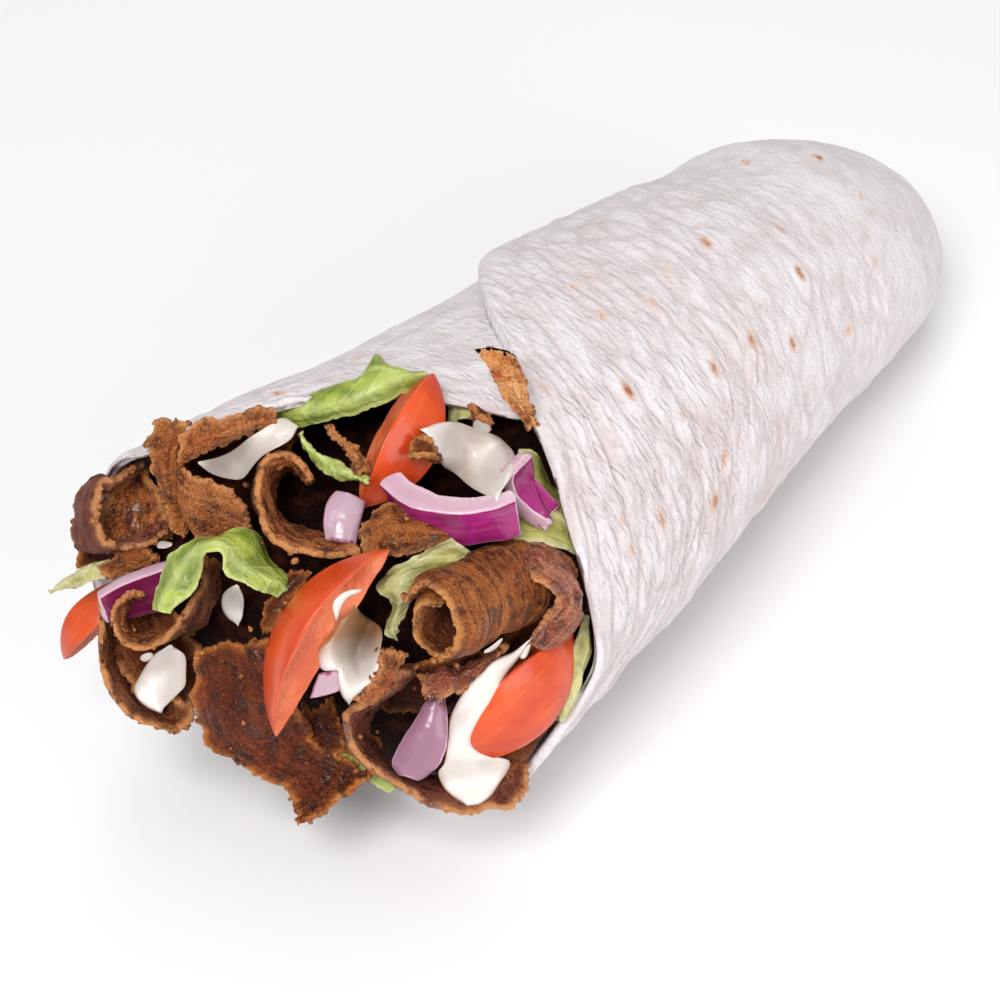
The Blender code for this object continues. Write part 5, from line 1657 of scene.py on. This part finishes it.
SAUCE: dict[str, Pour] = {
    "sauce_pool_top": Pour(
        near=((18, 23.2), (19.4, 21.4), (21.2, 20.2), (21.8, 17.8), (25, 15.6), (28, 13.2), (29.6, 11.8)),
        far=((18.4, 23.8), (20.5, 25), (23.4, 24.8), (27, 23.2), (31, 22.4), (33.8, 19), (30.4, 12.2)),
        height=1.7),
    "sauce_flow_right": Pour(
        near=((35, -9), (31.4, -10.6), (28.4, -12.4), (25.6, -15.6), (23.4, -19), (22.6, -24),
              (22, -28), (20.4, -29.2), (22, -33), (24.6, -36)),
        far=((35.8, -8.4), (33.4, -12), (31.4, -15), (29, -18.6), (27.4, -21), (25.4, -24.6),
             (28, -27), (32.6, -27.6), (31, -32.4), (27.2, -36)),
        height=1.9),
    "sauce_dollop_left": Pour(
        near=((-21, -9.6), (-23.2, -11.4), (-24.6, -13.8), (-26.2, -16.8), (-24.6, -19.2), (-22, -20.8)),
        far=((-19.2, -9.6), (-17.8, -11.4), (-17.4, -14), (-17.8, -16.4), (-20, -18), (-21, -20)),
        height=1.7),
    "sauce_on_tomato": Pour(
        near=((6.9, -2.8), (5.3, -6), (4, -8.6), (2.3, -11), (2.6, -13.4), (5.6, -13.6), (5.4, -15.6),
              (5.6, -17.8), (6.7, -19.4)),
        far=((8.8, -3), (10, -5.2), (12.2, -6.8), (12.4, -9.4), (12.1, -12), (11.4, -14), (10.2, -15.8),
             (8.8, -17.2), (7.4, -18.8)),
        height=2.3, fade=0.5),
    "sauce_pool_back": Pour(
        near=((-17, 17.8), (-13, 16.4), (-9.4, 15.6), (-7.8, 17.4), (-5.6, 19.8), (-1.6, 21.4), (0, 23.4)),
        far=((-15.4, 19.6), (-11.4, 20), (-9.4, 21), (-7.4, 22.8), (-5, 24.8), (-3, 25.6), (-0.6, 24.8)),
        height=0.8),
    "sauce_drip_middle": Pour(
        near=((-11, -0.4), (-12.4, -2), (-12.6, -4), (-11.6, -6), (-10.4, -7.2)),
        far=((-9, -1), (-8.9, -2.4), (-9, -4), (-9.4, -6), (-10, -7.2)),
        height=1.4),
}

JUICES: dict[str, Pour] = {
    "juice_under_roll": Pour(near=((31.4, -11.4), (29.4, -13.4), (27.6, -16)),
                             far=((32.8, -12.2), (31, -14.4), (29.4, -16.8)), height=0.5),
    "juice_by_pool": Pour(near=((-9.6, 15.8), (-12.4, 16.8), (-15.4, 17.6)),
                          far=((-8.6, 18), (-12, 18.6), (-15.8, 18.8)), height=0.5),
}

SMEARS: dict[str, Pour] = {
    "smear_tomato_edge": Pour(near=((4.8, -6.2), (4.6, -3.6), (5.8, -1.8), (9.6, -0.9)),
                              far=((5.7, -6), (6, -3.8), (7, -2.4), (9.8, -1.6)), height=0.5),
    "smear_column_top": Pour(near=((26.8, 25.6), (26.4, 24.6), (26.2, 23)),
                             far=((28.6, 25.4), (28.8, 24.4), (29.4, 23)), height=0.8),
    "smear_on_roll": Pour(near=((27.8, -10.6), (29.4, -9.8), (30.6, -8.6)),
                          far=((28.8, -11), (30.2, -10.2), (30.9, -9)), height=0.6),
    "smear_under_cup": Pour(near=((-22.6, 5.4), (-22, 6.4), (-20.6, 6.4)),
                            far=((-21.8, 5), (-20.8, 5.2), (-19.6, 5.8)), height=0.7),
    "smear_by_hook": Pour(near=((-25.6, -11.8), (-24.4, -11.2), (-23.4, -11)),
                          far=((-24.8, -12.8), (-23.9, -12.4), (-23.2, -11.8)), height=0.6),
    "smear_gap_right": Pour(near=((33.2, -11.8), (33.8, -10.6), (34.8, -9.4)),
                            far=((34.4, -12), (35, -10.8), (35.4, -9.6)), height=0.7),
}


class FirstSeed(IntEnum):
    """Seed of the first piece in each table."""
    MEAT = 100
    TOMATO = 900
    ONION = 1400
    LETTUCE = 2100
    SAUCE = 2800
    SMEAR = 3400
    JUICE = 3900
    SHRED = 5100


def seeded(table: dict[str, Entry], first: int) -> Iterator[tuple[str, Entry, int]]:
    """Every name and entry of a table, each with a seed of its own."""
    for place, (name, entry) in enumerate(table.items()):
        yield name, entry, first + SEED_STEP * place


@dataclass(frozen=True)
class MeatSlices:
    """Every slice and scrap of roast meat, and the darker shreds packed behind them."""
    mouth: Mouth
    grain: bpy.types.NodeTree

    def build(self, bench: Workbench) -> None:
        """Make each slice in the finish of its tone."""
        finishes = {tone: MeatFinish(self.grain, tone).material() for tone in MeatTone}
        for name, (form, tone), seed in seeded(MEAT, FirstSeed.MEAT):
            bench.make(name + "_look", form.skin(self.mouth, seed), finishes[tone], "meat", name)
        for name, (form, tone), seed in seeded(SHREDS, FirstSeed.SHRED):
            bench.make(name, form.skin(self.mouth, seed), finishes[tone], "meat")


@dataclass(frozen=True)
class TomatoWedges:
    """The tomato wedges."""
    mouth: Mouth
    finish: TomatoFinish

    def build(self, bench: Workbench) -> None:
        """Make each wedge."""
        material = self.finish.material()
        for name, form, seed in seeded(TOMATO, FirstSeed.TOMATO):
            bench.make(name + "_look", form.skin(self.mouth, seed), material, "tomato", name)


@dataclass(frozen=True)
class OnionSlices:
    """The red onion pieces."""
    mouth: Mouth
    grain: bpy.types.NodeTree

    def build(self, bench: Workbench) -> None:
        """Make each piece in the finish of its cut."""
        finishes = {cut: OnionFinish(self.grain, cut).material() for cut in OnionCut}
        for name, (form, cut), seed in seeded(ONION, FirstSeed.ONION):
            bench.make(name + "_look", form.skin(self.mouth, seed), finishes[cut], "onion", name)


@dataclass(frozen=True)
class LettuceLeaves:
    """The torn lettuce leaves: fresh green ones and pale ones."""
    mouth: Mouth
    fresh: LettuceFinish
    pale: LettuceFinish
    pale_names: tuple[str, ...] = ("lettuce_right", "lettuce_edge_right", "lettuce_behind",
                                   "lettuce_tip_left", "lettuce_centre")

    @staticmethod
    def ribs(skin: Skin) -> Array:
        """Rib mark: a soft midrib along the leaf, and side ribs that leave it at a slant."""
        u, v = skin.marks["u"], skin.marks["v"]
        across = v - 0.42 * v.max() - 0.6 * np.sin(u / 4.0)
        mid = np.exp(-(across / 0.7) ** 2)
        phase = (u - 0.8 * np.abs(across) + 0.8 * np.sin(v)) / 4.4
        branch = np.exp(-((phase - np.round(phase)) * 4.4 / 0.35) ** 2)
        return np.clip(0.8 * mid + 0.35 * branch * np.exp(-(across / 3.0) ** 2), 0.0, 1.0)

    def build(self, bench: Workbench) -> None:
        """Make each leaf."""
        fresh, pale = self.fresh.material(), self.pale.material()
        for name, form, seed in seeded(LETTUCE, FirstSeed.LETTUCE):
            skin = form.skin(self.mouth, seed)
            skin.marks["rib"] = self.ribs(skin)
            material = pale if name in self.pale_names else fresh
            bench.make(name + "_look", skin, material, "lettuce", name)


@dataclass(frozen=True)
class SauceFlows:
    """The sauce and thin juices, laid over everything made before them."""
    mouth: Mouth
    finish: SauceFinish
    juice: SauceFinish

    def build(self, bench: Workbench) -> None:
        """Measure the relief, lay each flow on it, and add thin smears."""
        relief = Relief(self.mouth, blur=16)
        relief.measure([piece for piece in bench.pieces if piece.name != "tortilla"])
        material = self.finish.material()
        for name, form, seed in seeded(SAUCE, FirstSeed.SAUCE):
            bench.make(name + "_look", form.skin(self.mouth, relief, seed), material, "sauce", name)
        for name, form, seed in seeded(SMEARS, FirstSeed.SMEAR):
            bench.make(name, form.skin(self.mouth, relief, seed), material, "sauce")
        juicy = self.juice.material()
        for name, form, seed in seeded(JUICES, FirstSeed.JUICE):
            bench.make(name, form.skin(self.mouth, relief, seed), juicy, "sauce")


@dataclass(frozen=True)
class Crumbs:
    """Bits of meat that cling to the torn rims, and a few that lie loose on the filling."""
    mouth: Mouth
    grain: bpy.types.NodeTree
    clinging: int = 900
    loose: int = 70
    middle: tuple[float, float] = (2.0, -4.0)
    spread: tuple[float, float] = (37.0, 25.0)
    deepest: float = -18.0
    rings: int = 4
    sides: int = 6

    def skin(self, homes: Array, sizes: Array, rng: np.random.Generator) -> Skin:
        """Surface of all the crumbs: balls of a few faces, each point of each pushed in or out
        by a random amount and each ball stretched its own way.

        Args:
            homes: centre of each crumb.
            sizes: radius of each crumb.
            rng: source of the random shapes.

        Returns:
            One surface of many closed balls.
        """
        up = np.linspace(0.0, math.pi, self.rings + 2)[1:-1, None]
        turn = np.linspace(0.0, 2.0 * math.pi, self.sides, endpoint=False)[None, :]
        ball = np.stack((np.sin(up) * np.cos(turn), np.sin(up) * np.sin(turn), np.cos(up) + 0.0 * turn), -1)
        ball = np.concatenate((ball.reshape(-1, 3), ((0.0, 0.0, 1.0), (0.0, 0.0, -1.0))))
        bumps = rng.uniform(0.65, 1.3, (len(homes), len(ball), 1))
        frames = np.linalg.qr(rng.normal(size=(len(homes), 3, 3)))[0]
        stretch = frames * rng.uniform(0.6, 1.5, (len(homes), 3, 1))
        shapes = ball[None] * bumps @ stretch
        points = homes[:, None] + sizes[:, None, None] * shapes
        faces, fans = ring_faces(self.rings, self.sides)
        step = (np.arange(len(homes)) * len(ball))[:, None, None]
        faces, fans = (faces[None] + step).reshape(-1, 4), (fans[None] + step).reshape(-1, 3)
        share = rng.uniform(0.0, 1.0, len(homes))
        flip = np.linalg.det(stretch) < 0.0
        faces = np.where(np.repeat(flip, len(faces) // len(homes))[:, None], faces[:, ::-1], faces)
        fans = np.where(np.repeat(flip, len(fans) // len(homes))[:, None], fans[:, ::-1], fans)
        count = points.shape[0] * points.shape[1]
        marks = {"edge": np.repeat(share, len(ball)), "inside": np.zeros(count),
                 "u": points[..., 0].ravel(), "v": points[..., 1].ravel()}
        return Skin(points.reshape(-1, 3), faces, marks, fans)

    def build(self, bench: Workbench) -> None:
        """Put crumbs on random points of the meat's rims, and on random places of the relief."""
        rng = np.random.default_rng(23)
        rims = []
        for piece in bench.pieces:
            if not piece.name.startswith("meat") or "edge" not in piece.data.attributes:
                continue
            edge = np.empty(len(piece.data.vertices))
            piece.data.attributes["edge"].data.foreach_get("value", edge)
            rims.append(points_of(piece)[edge > 0.75])
        rims = np.concatenate(rims)
        clinging = rims[rng.integers(0, len(rims), self.clinging)]
        relief = Relief(self.mouth, blur=2)
        relief.measure([piece for piece in bench.pieces if piece.name != "tortilla"])
        turn = rng.uniform(0.0, 2.0 * math.pi, self.loose)
        flat = np.stack((np.cos(turn), np.sin(turn)), -1) * self.spread
        flat = flat * np.sqrt(rng.uniform(0.0, 1.0, self.loose))[:, None] + self.middle
        high = relief.height_at(flat)
        relief.measure([piece for piece in bench.pieces if piece.name.startswith(("meat", "filling"))])
        kept = (high > self.deepest) & (relief.height_at(flat) > high - 0.3)
        loose = self.mouth.cast(np.concatenate((flat[kept], high[kept, None] + 0.1), -1))
        sizes = np.concatenate((rng.uniform(0.2, 0.48, self.clinging), rng.uniform(0.25, 0.5, kept.sum())))
        skin = self.skin(np.concatenate((clinging, loose)), sizes, rng)
        bench.make("meat_crumbs", skin, MeatFinish(self.grain, MeatTone.ROASTED).material(), "meat")


@dataclass(frozen=True)
class Studio:
    """Plain pale floor, soft lights and the camera."""
    azimuth: float = -52.0
    elevation: float = 42.0
    distance: float = 0.409
    target: Place = (-0.024, -0.004, 0.035)
    lens: float = 85.0
    sky: float = 0.43
    floor_reach: float = 3.0

    def directions(self) -> tuple[Array, Array, Array]:
        """Right, up and backward directions of the camera."""
        turn, rise = math.radians(self.azimuth), math.radians(self.elevation)
        back = np.array((math.sin(turn) * math.cos(rise), -math.cos(turn) * math.cos(rise), math.sin(rise)))
        right = np.array((math.cos(turn), math.sin(turn), 0.0))
        return right, np.cross(back, right), back

    def add_camera(self) -> None:
        """Place the camera and make it the scene's."""
        right, up, back = self.directions()
        data = bpy.data.cameras.new("camera")
        data.lens, data.sensor_width, data.clip_start = self.lens, 36.0, 0.01
        camera = bpy.data.objects.new("camera", data)
        turn = Matrix(np.stack((right, up, back), axis=1).tolist()).to_4x4()
        camera.matrix_world = Matrix.Translation(np.array(self.target) + back * self.distance) @ turn
        bpy.context.scene.collection.objects.link(camera)
        bpy.context.scene.camera = camera

    def add_light(self, name: str, place: Place, size: float, power: float, colour: Colour) -> None:
        """Add a square soft light that faces the object."""
        data = bpy.data.lights.new(name, "AREA")
        data.size, data.energy, data.color = size, power, colour
        light = bpy.data.objects.new(name, data)
        back = unit(np.array(place) - np.array(self.target))
        right = unit(np.cross((0.0, 0.0, 1.0), back))
        turn = Matrix(np.stack((right, np.cross(back, right), back), axis=1).tolist()).to_4x4()
        light.matrix_world = Matrix.Translation(place) @ turn
        bpy.context.scene.collection.objects.link(light)

    def build(self) -> None:
        """Make the camera, the lights, the sky and the floor."""
        self.add_camera()
        self.add_light("key", (-0.6, -0.18, 0.8), size=0.4, power=7.6, colour=(1.0, 0.985, 0.97))
        self.add_light("fill", (-0.05, -0.95, 0.4), size=0.7, power=4.3, colour=(1.0, 0.97, 0.95))
        self.add_light("back", (0.65, 0.45, 0.6), size=0.5, power=2.0, colour=(0.97, 0.98, 1.0))
        world = bpy.data.worlds.new("studio")
        world.use_nodes = True
        world.node_tree.nodes["Background"].inputs["Color"].default_value = (1.0, 1.0, 1.0, 1.0)
        world.node_tree.nodes["Background"].inputs["Strength"].default_value = self.sky
        bpy.context.scene.world = world
        bpy.context.scene.view_settings.view_transform = "Standard"
        corners = self.floor_reach * np.array(((-1.0, -1.0), (1.0, -1.0), (1.0, 1.0), (-1.0, 1.0)))
        mesh = bpy.data.meshes.new("floor")
        mesh.from_pydata(np.column_stack((corners, np.zeros(4))).tolist(), [], [(0, 1, 2, 3)])
        floor = bpy.data.objects.new("floor", mesh)
        material, graph, shader = new_finish("floor_pale")
        graph.feed(shader, {"Base Color": (0.86, 0.86, 0.87, 1.0), "Roughness": 0.9})
        mesh.materials.append(material)
        bpy.context.scene.collection.objects.link(floor)
        floor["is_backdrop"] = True


def box_of(corners: tuple) -> list[list[float]]:
    """A box as plain lists of numbers."""
    return [[float(value) for value in corner] for corner in corners]


def main() -> None:
    """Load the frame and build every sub-assembly in order."""
    logging.basicConfig(level=logging.INFO, format="%(name)s: %(message)s")
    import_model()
    solid_box = box_of(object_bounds())
    bench = Workbench(np.array(solid_box[0]), np.array(solid_box[1]))
    roll = Roll()
    mouth = Mouth(roll)
    grain = grain_group()
    Tortilla(roll).build(bench, TortillaFinish(grain))
    PackedFilling(roll).build(bench, FillingFinish(grain))
    MeatSlices(mouth, grain).build(bench)
    TomatoWedges(mouth, TomatoFinish(grain)).build(bench)
    OnionSlices(mouth, grain).build(bench)
    LettuceLeaves(mouth,
                  LettuceFinish(grain, "fresh", (0.34, 0.42, 0.045), (0.13, 0.2, 0.012), (0.6, 0.66, 0.24)),
                  LettuceFinish(grain, "pale", (0.42, 0.4, 0.11), (0.24, 0.22, 0.05),
                                (0.66, 0.64, 0.36))).build(bench)
    SauceFlows(mouth, SauceFinish(grain), SauceFinish(
        grain, "juice_brown", (0.34, 0.19, 0.1), (0.2, 0.08, 0.035))).build(bench)
    Crumbs(mouth, grain).build(bench)
    Studio().build()


if __name__ == "__main__":
    main()
